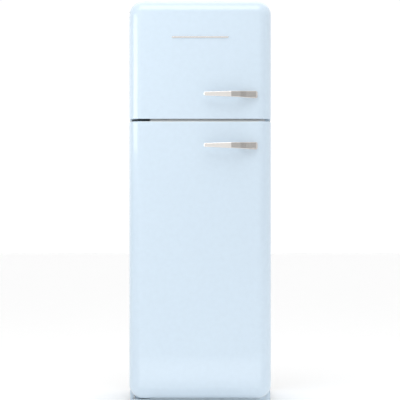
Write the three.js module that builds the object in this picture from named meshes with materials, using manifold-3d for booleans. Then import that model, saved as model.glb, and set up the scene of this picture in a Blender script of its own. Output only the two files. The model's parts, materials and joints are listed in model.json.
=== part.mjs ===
// Top freezer refrigerator with two pillow-fronted doors, hinged on the left.
// Millimetres. +X is the right seen from the front, -Y is the front, +Z is up.
// The origin lies on the floor, under the middle of the overall box.

import * as THREE from 'three';
import { mergeVertices } from 'three/addons/utils/BufferGeometryUtils.js';
import Module from 'manifold-3d';

const wasm = await Module();
wasm.setup();

// ---- Overall sizes ---------------------------------------------------------
const WIDTH = 601;
const HEIGHT = 1720;
const DEPTH = 728;
const HANDLE_REACH = 48;
const DOOR_DEPTH = 76;
const SEAL_GAP = 12;
const CABINET_DEPTH = 556;

// ---- Clearances ------------------------------------------------------------
const TOUCH = 0.3;
const RUNNING = 0.3;
const SLIDING = 2;
const PLAY = 1.5;

// ---- Walls -----------------------------------------------------------------
const SHEET = 1;
const SKIN = 1.2;
const LINER = 2;
const MOULDING = 2.5;
const GLASS = 4;

// ---- Cabinet ---------------------------------------------------------------
const CORNER_RADIUS = 60;
const CABINET_INSET = 2;
const CABINET_BOTTOM = 25;
const FRONT_FLANGE = 22;
const TOP_WALL = 65;
const FRIDGE_SIDE_WALL = 45.5;
const FREEZER_SIDE_WALL = 60.5;
const FRIDGE_BACK_WALL = 50;
const FREEZER_BACK_WALL = 60;
const FRIDGE_FLOOR = 115;
const MULLION = 60;
const FREEZER_CAVITY = 410;
const CAVITY_RADIUS = 25;
const FLOOR_RADIUS = 6;
const HUMP_TOP = 322;
const HUMP_DEPTH = 168;
const EVAPORATOR_SIDE = 40;
const EVAPORATOR_END = 20;
const EVAPORATOR_PLATE = 2;
const PLINTH_TOP = 92;

// ---- Machine compartment ---------------------------------------------------
const MACHINE_DEPTH = 178;
const MACHINE_TOP = 290;
const MACHINE_SIDE = 45.5;
const TRAY_HEIGHT = 30;
const TRAY_LIP = 14;
const COMPRESSOR_RADIUS = 68;
const COMPRESSOR_STRETCH = 1.25;
const COMPRESSOR_HEIGHT = 172;
const COMPRESSOR_X = -70;
const COMPRESSOR_LEG = 9;
const COMPRESSOR_LEG_RADIUS = 8;
const COMPRESSOR_LEG_OUT = 12;
const COMPRESSOR_PLATE = 3;
const COMPRESSOR_PLATE_EDGE = 10;
const TRAY_SETBACK = 8;
const TERMINAL_WIDTH = 34;
const TERMINAL_DEPTH = 56;
const TERMINAL_HEIGHT = 62;
const TERMINAL_UP = 55;
const DRIP_TRAY_HEIGHT = 26;
const DRIP_TRAY_INSET = 4;
const DRIP_TRAY_RADIUS = 14;
const DRIER_X = 170;
const DRIER_BEHIND = 30;
const DRIER_BOTTOM = 120;
const INLET_WIDTH = 30;
const INLET_DEPTH = 36;
const INLET_HEIGHT = 40;
const INLET_BOTTOM = 210;
const INLET_FROM_REAR = 4;
const PIPE_RADIUS = 3;

// ---- Condenser -------------------------------------------------------------
const COIL_RADIUS = 2.5;
const COIL_PASSES = 20;
const COIL_HALF_WIDTH = 225;
const COIL_BOTTOM = 340;
const COIL_TOP_MARGIN = 190;
const COIL_STAND_OFF = 16;
const WIRE = 2;
const WIRE_COUNT = 23;
const WIRE_MARGIN = 20;
const WIRE_OVERRUN = 15;
const WIRE_RAIL = 5;
const SPACER_OUT = 10;
const SPACER_WIDTH = 12;
const SPACER_HEIGHT = 13;

// ---- Doors -----------------------------------------------------------------
const DOOR_BOTTOM = 37;
const DOOR_GAP = 10;
const PILLOW_WIDTH = 56;
const PILLOW_DEPTH = 52;
const DYKE_CLEARANCE = 10;
const DYKE_WIDTH = 28;
const DYKE_PROJECTION = 30;
const DYKE_RADIUS = 20;
const GASKET_WIDTH = 16;
const FRIDGE_GASKET_INSET = 22.5;
const FREEZER_GASKET_INSET = 32.5;
const GASKET_FROM_GAP = 6;
const GASKET_FROM_BOTTOM = 20;
const GASKET_FROM_TOP = 30;
const GASKET_RADIUS = 12;
const GASKET_INNER_RADIUS = 4;
const DOOR_LEDGE_SHORT = 8;

// ---- Hinges ----------------------------------------------------------------
const HINGE_INSET = 22;
const HINGE_SETBACK = 18;
const PIN_RADIUS = 4;
const PIN_REACH = 16;
const BRACKET = 5;
const BRACKET_WIDTH = 75;
const BRACKET_FLANGE = 3;
const BRACKET_LEFT = 11;
const BRACKET_EYE_WALL = 7;
const BRACKET_UNDER_DOOR = 4;
const BRACKET_BELOW_GASKET = 4;
const MIDDLE_FLANGE = 18;
const TOP_BRACKET_DROP = 56.5;
const TOP_SLOT_HEIGHT = 17;
const TOP_SLOT_FRONT = 20;
const TOP_SLOT_RIGHT = 14;
const TOP_NECK_LEFT = 6;
const TOP_NECK_RIGHT = 9;

// ---- Handles and badge -----------------------------------------------------
const HANDLE_ABOVE_GAP = 109;
const HANDLE_BELOW_GAP = 106;
const HANDLE_RIGHT = 241;
const HANDLE_LENGTH = 225;
const BADGE_LENGTH = 240;
const BADGE_HEIGHT = 7;
const BADGE_PROUD = 3;
const BADGE_FROM_TOP = 156;

// ---- Fridge fittings -------------------------------------------------------
const SHELF_FRONT = 143;
const SHELF_REAR = 16;
const LEVELS = 5;
const LEDGE = 8;
const LEDGE_HEIGHT = 6;
const CRISPER_GAP = 4;
const CRISPER_SIDE = 8;
const CRISPER_HEADROOM = 4;
const CRISPER_FRONT = 140;
const CRISPER_LIP = 12;
const CRISPER_LIP_LENGTH = 130;
const CRISPER_CORNER = 12;
const SHELF_CORNER = 6;
const RACK_ROD = 3;
const RACK_WIRES = 7;
const RACK_INSET = 12;
const FREEZER_SHELF_UP = 195;
const FREEZER_SHELF_FRONT = 108;
const HOUSING_WIDTH = 190;
const HOUSING_HEIGHT = 39;
const HOUSING_FRONT = 40;
const HOUSING_LENGTH = 168;
const KNOB_RADIUS = 18;
const KNOB_HEIGHT = 12;
const KNOB_OFFSET_X = -40;
const KNOB_OFFSET_Y = 56;
const SPINDLE_RADIUS = 4;
const BUTTON_RADIUS = 5;
const BUTTON_OFFSET_X = 60;
const BUTTON_TRAVEL = 6.1;
const LAMP_COVER_WIDTH = 120;
const LAMP_COVER_LENGTH = 100;

// ---- Door fittings ---------------------------------------------------------
const BALCONY_DEPTH = 140;
const BALCONY_RADIUS = 30;
const BOTTLE_BALCONY_UP = 17;
const BOTTLE_BALCONY_HEIGHT = 100;
const MIDDLE_BALCONY_SHARE = 0.505;
const BALCONY_HEIGHT = 75;
const DAIRY_FROM_TOP = 337;
const DAIRY_HEIGHT = 80;
const DAIRY_PIN = 2;
const FREEZER_BALCONY_UP = 45;
const FREEZER_BALCONY_DEPTH = 100;
const FREEZER_BALCONY_HEIGHT = 70;

// ---- Feet and rollers ------------------------------------------------------
const FOOT_X = 235;
const FOOT_SETBACK = 38;
const FOOT_RADIUS = 18;
const STUD_RADIUS = 5;
const STUD_TOP = 45;
const PAD_EDGE = 7;
const PAD_HEIGHT = 10;
const PAD_SHOULDER = 4;
const NUT_RADIUS = 12;
const NUT_TOP = 17;
const BOSS_WALL = 4;
const BOSS_HEIGHT = 6;
const ROLLER_X = 225;
const ROLLER_RADIUS = 12;
const ROLLER_WIDTH = 16;
const ROLLER_FROM_REAR = 28;
const AXLE_RADIUS = 3;
const BRACKET_PLATE = 2.5;

// ---- Stations worked out from the sizes above ------------------------------
const halfWidth = WIDTH / 2;
const doorFront = -DEPTH / 2 + HANDLE_REACH;
const doorRear = doorFront + DOOR_DEPTH;
const cabinetFront = doorRear + SEAL_GAP;
const cabinetRear = cabinetFront + CABINET_DEPTH;
const cabinetHalf = halfWidth - CABINET_INSET;
const cabinetTop = HEIGHT - CABINET_INSET;
const foamFront = cabinetFront + LINER + TOUCH;
const panelFront = cabinetRear - SHEET;

const freezerTop = HEIGHT - TOP_WALL;
const freezerBottom = freezerTop - FREEZER_CAVITY;
const fridgeTop = freezerBottom - MULLION;
const gapMiddle = (freezerBottom + fridgeTop) / 2;
const fridgeHalf = halfWidth - FRIDGE_SIDE_WALL;
const freezerHalf = halfWidth - FREEZER_SIDE_WALL;
const fridgeBack = cabinetRear - FRIDGE_BACK_WALL;
const freezerBack = cabinetRear - FREEZER_BACK_WALL;
const humpFront = fridgeBack - HUMP_DEPTH;

const machineFront = cabinetRear - MACHINE_DEPTH;
const machineHalf = halfWidth - MACHINE_SIDE;

const hingeX = -halfWidth + HINGE_INSET;
const hingeY = doorRear - HINGE_SETBACK;
const swingRadius = Math.hypot(HINGE_INSET, HINGE_SETBACK);
const flangeReach = HINGE_SETBACK + SEAL_GAP - TOUCH - BRACKET_FLANGE;
const flangeStart = hingeX + SLIDING
  + Math.sqrt(Math.max(swingRadius ** 2 - flangeReach ** 2, 0));
const slotBottom = HEIGHT - TOP_BRACKET_DROP - TOP_SLOT_HEIGHT / 2;

const shelfFront = cabinetFront + SHELF_FRONT;
const shelfRear = fridgeBack - SHELF_REAR;
const coverBottom = HUMP_TOP + CRISPER_HEADROOM;
const levelPitch = (fridgeTop - HOUSING_HEIGHT - coverBottom) / LEVELS;
const housingFront = cabinetFront + HOUSING_FRONT;
const housingBottom = fridgeTop - HOUSING_HEIGHT;
const housingRear = housingFront + HOUSING_LENGTH;
const dykeRear = cabinetFront + DYKE_PROJECTION;

// ---- Solids from geometries ------------------------------------------------
function toSolid(geometry) {
  const bare = geometry.clone();
  bare.deleteAttribute('normal');
  bare.deleteAttribute('uv');
  const merged = mergeVertices(bare, 1e-4);
  return new wasm.Manifold(new wasm.Mesh({
    numProp: 3,
    vertProperties: new Float32Array(merged.attributes.position.array),
    triVerts: new Uint32Array(merged.index.array),
  }));
}

function toGeometry(solid) {
  const mesh = solid.getMesh();
  const geometry = new THREE.BufferGeometry();
  geometry.setAttribute('position', new THREE.BufferAttribute(mesh.vertProperties, 3));
  geometry.setIndex(new THREE.BufferAttribute(mesh.triVerts, 1));
  const flat = geometry.toNonIndexed();
  flat.computeVertexNormals();
  return flat;
}

function join(solids) {
  return solids.reduce((whole, next) => whole.add(next));
}

// ---- Primitive solids ------------------------------------------------------
function box(x0, x1, y0, y1, z0, z1) {
  const geometry = new THREE.BoxGeometry(x1 - x0, y1 - y0, z1 - z0);
  geometry.translate((x0 + x1) / 2, (y0 + y1) / 2, (z0 + z1) / 2);
  return toSolid(geometry);
}

function rodZ(x, y, z0, z1, radius, sides = 14) {
  const geometry = new THREE.CylinderGeometry(radius, radius, z1 - z0, sides);
  geometry.rotateX(Math.PI / 2);
  geometry.translate(x, y, (z0 + z1) / 2);
  return toSolid(geometry);
}

function rodY(x, z, y0, y1, radius, sides = 14) {
  const geometry = new THREE.CylinderGeometry(radius, radius, y1 - y0, sides);
  geometry.translate(x, (y0 + y1) / 2, z);
  return toSolid(geometry);
}

function rodX(y, z, x0, x1, radius, sides = 14) {
  const geometry = new THREE.CylinderGeometry(radius, radius, x1 - x0, sides);
  geometry.rotateZ(Math.PI / 2);
  geometry.translate((x0 + x1) / 2, y, z);
  return toSolid(geometry);
}

// An outline drawn in X and Z, extruded from y0 back to y1.
function prismY(shape, y0, y1, curveSegments = 3) {
  const geometry = new THREE.ExtrudeGeometry(shape, {
    depth: y1 - y0, bevelEnabled: false, curveSegments,
  });
  geometry.rotateX(Math.PI / 2);
  geometry.translate(0, y1, 0);
  return toSolid(geometry);
}

// An outline drawn in X and Y, extruded from z0 up to z1.
function prismZ(shape, z0, z1, curveSegments = 2) {
  const geometry = new THREE.ExtrudeGeometry(shape, {
    depth: z1 - z0, bevelEnabled: false, curveSegments,
  });
  geometry.translate(0, 0, z0);
  return toSolid(geometry);
}

// A turned profile of [radius, height] points, standing on z = 0.
function turned(profile, sides = 18) {
  const points = profile.map(([radius, height]) => new THREE.Vector2(radius, height));
  const geometry = new THREE.LatheGeometry(points, sides);
  geometry.rotateX(Math.PI / 2);
  return toSolid(geometry);
}

function roundedRect(left, right, bottom, top, lowRadius, highRadius) {
  const shape = new THREE.Shape();
  shape.moveTo(left + lowRadius, bottom);
  shape.lineTo(right - lowRadius, bottom);
  if (lowRadius > 0) {
    shape.absarc(right - lowRadius, bottom + lowRadius, lowRadius, -Math.PI / 2, 0);
  }
  shape.lineTo(right, top - highRadius);
  if (highRadius > 0) {
    shape.absarc(right - highRadius, top - highRadius, highRadius, 0, Math.PI / 2);
  }
  shape.lineTo(left + highRadius, top);
  if (highRadius > 0) {
    shape.absarc(left + highRadius, top - highRadius, highRadius, Math.PI / 2, Math.PI);
  }
  shape.lineTo(left, bottom + lowRadius);
  if (lowRadius > 0) {
    shape.absarc(left + lowRadius, bottom + lowRadius, lowRadius, Math.PI, 1.5 * Math.PI);
  }
  return shape;
}

function outline(points) {
  const shape = new THREE.Shape();
  points.forEach(([x, y], i) => (i === 0 ? shape.moveTo(x, y) : shape.lineTo(x, y)));
  return shape;
}

// A route through given points, sampled at the points themselves, so that long
// straights take one step and bends take as many as they have points.
class Route extends THREE.Curve {
  constructor(points) {
    super();
    this.points = points;
  }

  getPoint(t, target = new THREE.Vector3()) {
    const place = t * (this.points.length - 1);
    const index = Math.min(Math.round(place), this.points.length - 1);
    return target.copy(this.points[index]);
  }

  getPointAt(u, target) {
    return this.getPoint(u, target);
  }

  getTangentAt(u, target = new THREE.Vector3()) {
    const last = this.points.length - 1;
    const index = Math.min(Math.round(u * last), last);
    const here = this.points[index];
    const before = this.points[Math.max(index - 1, 0)];
    const after = this.points[Math.min(index + 1, last)];
    const incoming = here.clone().sub(before).normalize();
    const outgoing = after.clone().sub(here).normalize();
    return target.copy(incoming.add(outgoing)).normalize();
  }
}

function pipe(points, radius, sides = 6) {
  const section = new THREE.Shape();
  section.absarc(0, 0, radius, 0, 2 * Math.PI);
  return toSolid(new THREE.ExtrudeGeometry(section, {
    steps: points.length - 1,
    curveSegments: sides / 2,
    bevelEnabled: false,
    extrudePath: new Route(points),
  }));
}

// ---- Scene -----------------------------------------------------------------
const refrigerator = new THREE.Group();
refrigerator.name = 'top_freezer_refrigerator';

function piece(parent, name, solid, finish, place = [0, 0, 0]) {
  const mesh = new THREE.Mesh(toGeometry(solid), new THREE.MeshStandardMaterial(finish));
  mesh.name = name;
  mesh.position.set(...place);
  parent.add(mesh);
  return mesh;
}

const bluePaint = { color: 0xd3e3f1, roughness: 0.22, metalness: 0.0 };
const whiteLiner = { color: 0xf2f4f4, roughness: 0.4, metalness: 0.0 };
const foamYellow = { color: 0xe6d9a8, roughness: 0.9, metalness: 0.0 };
const greySeal = { color: 0xc9ced2, roughness: 0.7, metalness: 0.0 };
const chrome = { color: 0xc8c8c8, roughness: 0.12, metalness: 1.0 };
const darkSteel = { color: 0x54585c, roughness: 0.45, metalness: 0.7 };
const zincSteel = { color: 0xa9adb0, roughness: 0.4, metalness: 0.9 };
const blackEnamel = { color: 0x17181a, roughness: 0.35, metalness: 0.2 };
const blackPlastic = { color: 0x202225, roughness: 0.55, metalness: 0.0 };
const copper = { color: 0xb8734a, roughness: 0.3, metalness: 1.0 };
const clearGlass = { color: 0xdfeeea, roughness: 0.05, transparent: true, opacity: 0.35 };
const clearPlastic = { color: 0xe6f0f5, roughness: 0.12, transparent: true, opacity: 0.5 };
const aluminium = { color: 0xb9bdc0, roughness: 0.35, metalness: 1.0 };

// ---- Cabinet shell, foam, liners -------------------------------------------
function cabinetShape(inset, bottom) {
  return roundedRect(
    -cabinetHalf + inset, cabinetHalf - inset, bottom, cabinetTop - inset,
    0, CORNER_RADIUS - CABINET_INSET - inset,
  );
}

function cavity(half, bottom, top, back, grow) {
  const shape = roundedRect(
    -half - grow, half + grow, bottom - grow, top + grow,
    FLOOR_RADIUS + grow, CAVITY_RADIUS + grow,
  );
  return prismY(shape, cabinetFront - (grow > LINER ? 1 : 0), back + grow);
}

function freezerVoid(grow) {
  return cavity(freezerHalf, freezerBottom, freezerTop, freezerBack, grow);
}

function fridgeVoid(grow) {
  const hump = box(
    -halfWidth, halfWidth, humpFront + grow, cabinetRear,
    0, HUMP_TOP - grow,
  );
  return cavity(fridgeHalf, FRIDGE_FLOOR, fridgeTop, fridgeBack, grow).subtract(hump);
}

function ledges(half, shelfBottom) {
  const top = shelfBottom - TOUCH;
  return [-1, 1].map((side) => {
    const inner = side * (half - LEDGE);
    const outer = side * (half + LINER / 2);
    return box(
      Math.min(inner, outer), Math.max(inner, outer), shelfFront, shelfRear,
      top - LEDGE_HEIGHT, top,
    );
  });
}

function liner(shell, room, flangeShape, shelves) {
  const flange = prismY(flangeShape, cabinetFront, cabinetFront + LINER);
  const mouth = room.translate(0, -LINER, 0);
  return join([shell.add(flange).subtract(room).subtract(mouth), ...shelves]);
}

function levelBottom(level) {
  return coverBottom + level * levelPitch;
}

function machineVoid(grow) {
  return box(
    -machineHalf - grow, machineHalf + grow, machineFront - grow, cabinetRear + 1,
    0, MACHINE_TOP + grow,
  );
}

function footRecess(side) {
  const radius = STUD_RADIUS + RUNNING + BOSS_WALL + TOUCH;
  return rodZ(side * FOOT_X, cabinetFront + FOOT_SETBACK, CABINET_BOTTOM, STUD_TOP + 5, radius);
}

const evaporator = {
  half: freezerHalf - EVAPORATOR_SIDE,
  bottom: freezerBottom + EVAPORATOR_END, top: freezerTop - EVAPORATOR_END,
  front: freezerBack + LINER + TOUCH, thickness: EVAPORATOR_PLATE,
};

function evaporatorPlate(grow) {
  return box(
    -evaporator.half - grow, evaporator.half + grow,
    evaporator.front - grow, evaporator.front + evaporator.thickness + grow,
    evaporator.bottom - grow, evaporator.top + grow,
  );
}

function buildCabinet() {
  const cabinet = new THREE.Group();
  const innerEdge = cabinetHalf - FRONT_FLANGE;
  const innerTop = cabinetTop - FRONT_FLANGE;
  const flangeRadius = CORNER_RADIUS - CABINET_INSET - FRONT_FLANGE;

  const wrapper = prismY(cabinetShape(0, CABINET_BOTTOM), cabinetFront, cabinetRear)
    .subtract(prismY(cabinetShape(SHEET, 0), cabinetFront + SHEET, cabinetRear + 1))
    .subtract(prismY(cabinetShape(FRONT_FLANGE, 0), cabinetFront - 1, cabinetRear));
  piece(cabinet, 'cabinet_wrapper', wrapper, bluePaint);

  const bonded = SHEET + TOUCH;
  const foam = prismY(cabinetShape(bonded, CABINET_BOTTOM + bonded), foamFront, panelFront - TOUCH)
    .subtract(fridgeVoid(LINER + TOUCH))
    .subtract(freezerVoid(LINER + TOUCH))
    .subtract(machineVoid(bonded))
    .subtract(footRecess(-1))
    .subtract(footRecess(1))
    .subtract(evaporatorPlate(TOUCH));
  piece(cabinet, 'cabinet_foam', foam, foamYellow);
  piece(cabinet, 'freezer_evaporator', evaporatorPlate(0), aluminium);

  const rearPanel = prismY(
    cabinetShape(bonded, CABINET_BOTTOM + bonded), panelFront, cabinetRear,
  ).subtract(machineVoid(bonded));
  piece(cabinet, 'rear_panel', rearPanel, zincSteel);

  const sideFit = cabinetHalf - SHEET - TOUCH;
  const floorTop = CABINET_BOTTOM + SHEET;
  const feet = [-1, 1].map((side) => [side * FOOT_X, cabinetFront + FOOT_SETBACK]);
  const bosses = feet.map(([x, y]) => rodZ(
    x, y, CABINET_BOTTOM, floorTop + BOSS_HEIGHT, STUD_RADIUS + RUNNING + BOSS_WALL,
  ));
  const studHoles = feet.map(([x, y]) => rodZ(x, y, 0, STUD_TOP, STUD_RADIUS + RUNNING));
  const compartment = machineVoid(SHEET).intersect(
    box(-halfWidth, halfWidth, machineFront - SHEET, cabinetRear, CABINET_BOTTOM, HEIGHT),
  );
  const basePan = join([
    box(-sideFit, sideFit, foamFront, cabinetRear, CABINET_BOTTOM, floorTop),
    compartment, ...bosses,
  ]).subtract(machineVoid(0)).subtract(join(studHoles));
  piece(cabinet, 'base_pan', basePan, zincSteel);

  const frontFit = innerEdge - TOUCH;
  piece(cabinet, 'plinth_panel', box(
    -frontFit, frontFit, cabinetFront, cabinetFront + LINER, CABINET_BOTTOM, PLINTH_TOP,
  ), bluePaint);
  piece(cabinet, 'mullion_strip', box(
    -frontFit, frontFit, cabinetFront, cabinetFront + LINER,
    fridgeTop + LINER + TOUCH, freezerBottom - LINER - TOUCH,
  ), zincSteel);

  const fridgeFlange = roundedRect(
    -frontFit, frontFit, PLINTH_TOP + TOUCH, fridgeTop + LINER, 0, 0,
  );
  const fridgeShelves = Array.from({ length: LEVELS }, (_, i) => ledges(fridgeHalf, levelBottom(i)));
  piece(cabinet, 'fridge_liner', liner(
    fridgeVoid(LINER), fridgeVoid(0), fridgeFlange, fridgeShelves.flat(),
  ), whiteLiner);
  const freezerFlange = roundedRect(
    -frontFit, frontFit, freezerBottom - LINER, innerTop - TOUCH, 0, flangeRadius - TOUCH,
  );
  piece(cabinet, 'freezer_liner', liner(
    freezerVoid(LINER), freezerVoid(0), freezerFlange,
    ledges(freezerHalf, freezerBottom + FREEZER_SHELF_UP),
  ), whiteLiner);
  return cabinet;
}

// ---- Shelves, rack, crispers -----------------------------------------------
function shelfPlate(half, front, rear) {
  const shape = roundedRect(
    -half + PLAY, half - PLAY, front, rear, SHELF_CORNER, SHELF_CORNER,
  );
  return prismZ(shape, 0, GLASS, 1);
}

function bottleRack() {
  const half = fridgeHalf - PLAY;
  const frontY = shelfFront + RACK_INSET;
  const rearY = shelfRear - RACK_INSET;
  const rails = [frontY, rearY].map((y) => rodX(y, RACK_ROD, -half, half, RACK_ROD, 6));
  const pitch = (2 * (half - RACK_INSET)) / (RACK_WIRES - 1);
  const wires = Array.from({ length: RACK_WIRES }, (_, i) => rodY(
    -half + RACK_INSET + i * pitch, RACK_ROD, shelfFront, shelfRear, RACK_ROD * 0.7, 6,
  ));
  return join([...rails, ...wires]);
}

function crisper() {
  const width = fridgeHalf - CRISPER_SIDE - CRISPER_GAP / 2;
  const front = cabinetFront + CRISPER_FRONT;
  const depth = humpFront - SLIDING - front;
  const height = HUMP_TOP - FRIDGE_FLOOR - SLIDING - TOUCH;
  const plan = (inset) => roundedRect(
    -width / 2 + inset, width / 2 - inset, inset, depth - inset,
    CRISPER_CORNER - inset, CRISPER_CORNER - inset,
  );
  const shell = prismZ(plan(0), 0, height);
  const inside = prismZ(plan(MOULDING), MOULDING, height + 1);
  const lip = box(
    -CRISPER_LIP_LENGTH / 2, CRISPER_LIP_LENGTH / 2, -CRISPER_LIP, MOULDING,
    height - CRISPER_LIP * 1.5, height - CRISPER_LIP * 1.5 + MOULDING,
  );
  const turnedDown = box(
    -CRISPER_LIP_LENGTH / 2, CRISPER_LIP_LENGTH / 2, -CRISPER_LIP, -CRISPER_LIP + MOULDING,
    height - CRISPER_LIP * 2.5, height - CRISPER_LIP * 1.5 + MOULDING,
  );
  return join([shell.subtract(inside), lip, turnedDown]);
}

function buildFittings() {
  const fittings = new THREE.Group();
  piece(fittings, 'crisper_cover', shelfPlate(fridgeHalf, shelfFront, shelfRear),
    clearGlass, [0, 0, levelBottom(0)]);
  piece(fittings, 'bottle_rack', bottleRack(), chrome, [0, 0, levelBottom(1)]);
  for (let level = 2; level < LEVELS; level += 1) {
    piece(fittings, `shelf_${level - 1}`, shelfPlate(fridgeHalf, shelfFront, shelfRear),
      clearGlass, [0, 0, levelBottom(level)]);
  }
  piece(fittings, 'freezer_shelf', shelfPlate(
    freezerHalf, cabinetFront + FREEZER_SHELF_FRONT, freezerBack - SHELF_REAR,
  ), clearGlass, [0, 0, freezerBottom + FREEZER_SHELF_UP]);

  const offset = (fridgeHalf - CRISPER_SIDE + CRISPER_GAP / 2) / 2;
  const front = cabinetFront + CRISPER_FRONT;
  for (const [name, side] of [['left', -1], ['right', 1]]) {
    piece(fittings, `crisper_${name}`, crisper(), clearPlastic,
      [side * offset, front, FRIDGE_FLOOR + TOUCH]);
  }
  return fittings;
}

// ---- Control housing, knob, light ------------------------------------------
function buildControls() {
  const controls = new THREE.Group();
  const ceiling = fridgeTop - TOUCH;
  const knobY = housingFront + KNOB_OFFSET_Y;
  const buttonZ = (housingBottom + ceiling) / 2 - 4;
  const half = HOUSING_WIDTH / 2;

  const housing = prismZ(roundedRect(-half, half, housingFront, housingRear, 10, 2),
    housingBottom, ceiling)
    .subtract(box(-half + LINER, half - LINER, housingFront + LINER, housingRear - LINER,
      housingBottom + LINER, ceiling + 1))
    .subtract(rodZ(KNOB_OFFSET_X, knobY, housingBottom - 1, housingBottom + LINER + 1,
      SPINDLE_RADIUS + RUNNING))
    .subtract(rodY(BUTTON_OFFSET_X, buttonZ, housingFront - 1, housingFront + LINER + 1,
      BUTTON_RADIUS + RUNNING));
  piece(controls, 'control_housing', housing, whiteLiner);

  const knob = turned([
    [0, 0], [KNOB_RADIUS - 2, 0], [KNOB_RADIUS, 2], [KNOB_RADIUS, KNOB_HEIGHT],
    [SPINDLE_RADIUS, KNOB_HEIGHT], [SPINDLE_RADIUS, KNOB_HEIGHT + 14], [0, KNOB_HEIGHT + 14],
  ]);
  const grip = box(-KNOB_RADIUS + 3, KNOB_RADIUS - 3, -3, 3, -5, 1);
  piece(controls, 'thermostat_knob', knob.add(grip), whiteLiner,
    [KNOB_OFFSET_X, knobY, housingBottom - TOUCH - KNOB_HEIGHT]);

  const collarFront = housingFront + LINER + BUTTON_TRAVEL + RUNNING;
  const button = rodY(BUTTON_OFFSET_X, buttonZ, dykeRear + TOUCH, collarFront + 12, BUTTON_RADIUS)
    .add(rodY(BUTTON_OFFSET_X, buttonZ, collarFront, collarFront + 3, BUTTON_RADIUS + 3));
  piece(controls, 'light_switch_button', button, greySeal);

  const coverHalf = LAMP_COVER_WIDTH / 2;
  const coverFront = housingRear + TOUCH;
  const coverRear = coverFront + LAMP_COVER_LENGTH;
  const cover = prismZ(roundedRect(-coverHalf, coverHalf, coverFront, coverRear, 2, 15),
    housingBottom + 4, ceiling)
    .subtract(box(-coverHalf + LINER, coverHalf - LINER, coverFront + LINER, coverRear - 5,
      housingBottom + 4 + LINER, ceiling + 1));
  piece(controls, 'lamp_cover', cover, clearPlastic);

  const lamp = turned([
    [0, 0], [7, 0], [7, 18], [11, 26], [13, 38], [11, 50], [6, 57], [0, 60],
  ], 16).rotate(-90, 0, 0).translate(0, coverFront + LINER + 3, housingBottom + 21);
  piece(controls, 'lamp', lamp, whiteLiner);
  return controls;
}

// ---- Machine compartment ---------------------------------------------------
function curved(points, samples) {
  const spline = new THREE.CatmullRomCurve3(points.map((p) => new THREE.Vector3(...p)));
  return spline.getSpacedPoints(samples);
}

function serpentine(y, bottom, top) {
  const pitch = (top - bottom) / (COIL_PASSES - 1);
  const radius = pitch / 2;
  const bend = COIL_HALF_WIDTH - radius;
  const points = [new THREE.Vector3(bend, y, bottom)];
  for (let pass = 0; pass < COIL_PASSES; pass += 1) {
    const side = pass % 2 === 0 ? -1 : 1;
    const z = bottom + pass * pitch;
    if (pass === COIL_PASSES - 1) {
      points.push(new THREE.Vector3(side * bend, y, z));
      break;
    }
    for (let step = 0; step <= 4; step += 1) {
      const angle = -Math.PI / 2 + (step * Math.PI) / 4;
      const x = side * (bend + radius * Math.cos(angle));
      points.push(new THREE.Vector3(x, y, z + radius + radius * Math.sin(angle)));
    }
  }
  return points;
}

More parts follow.
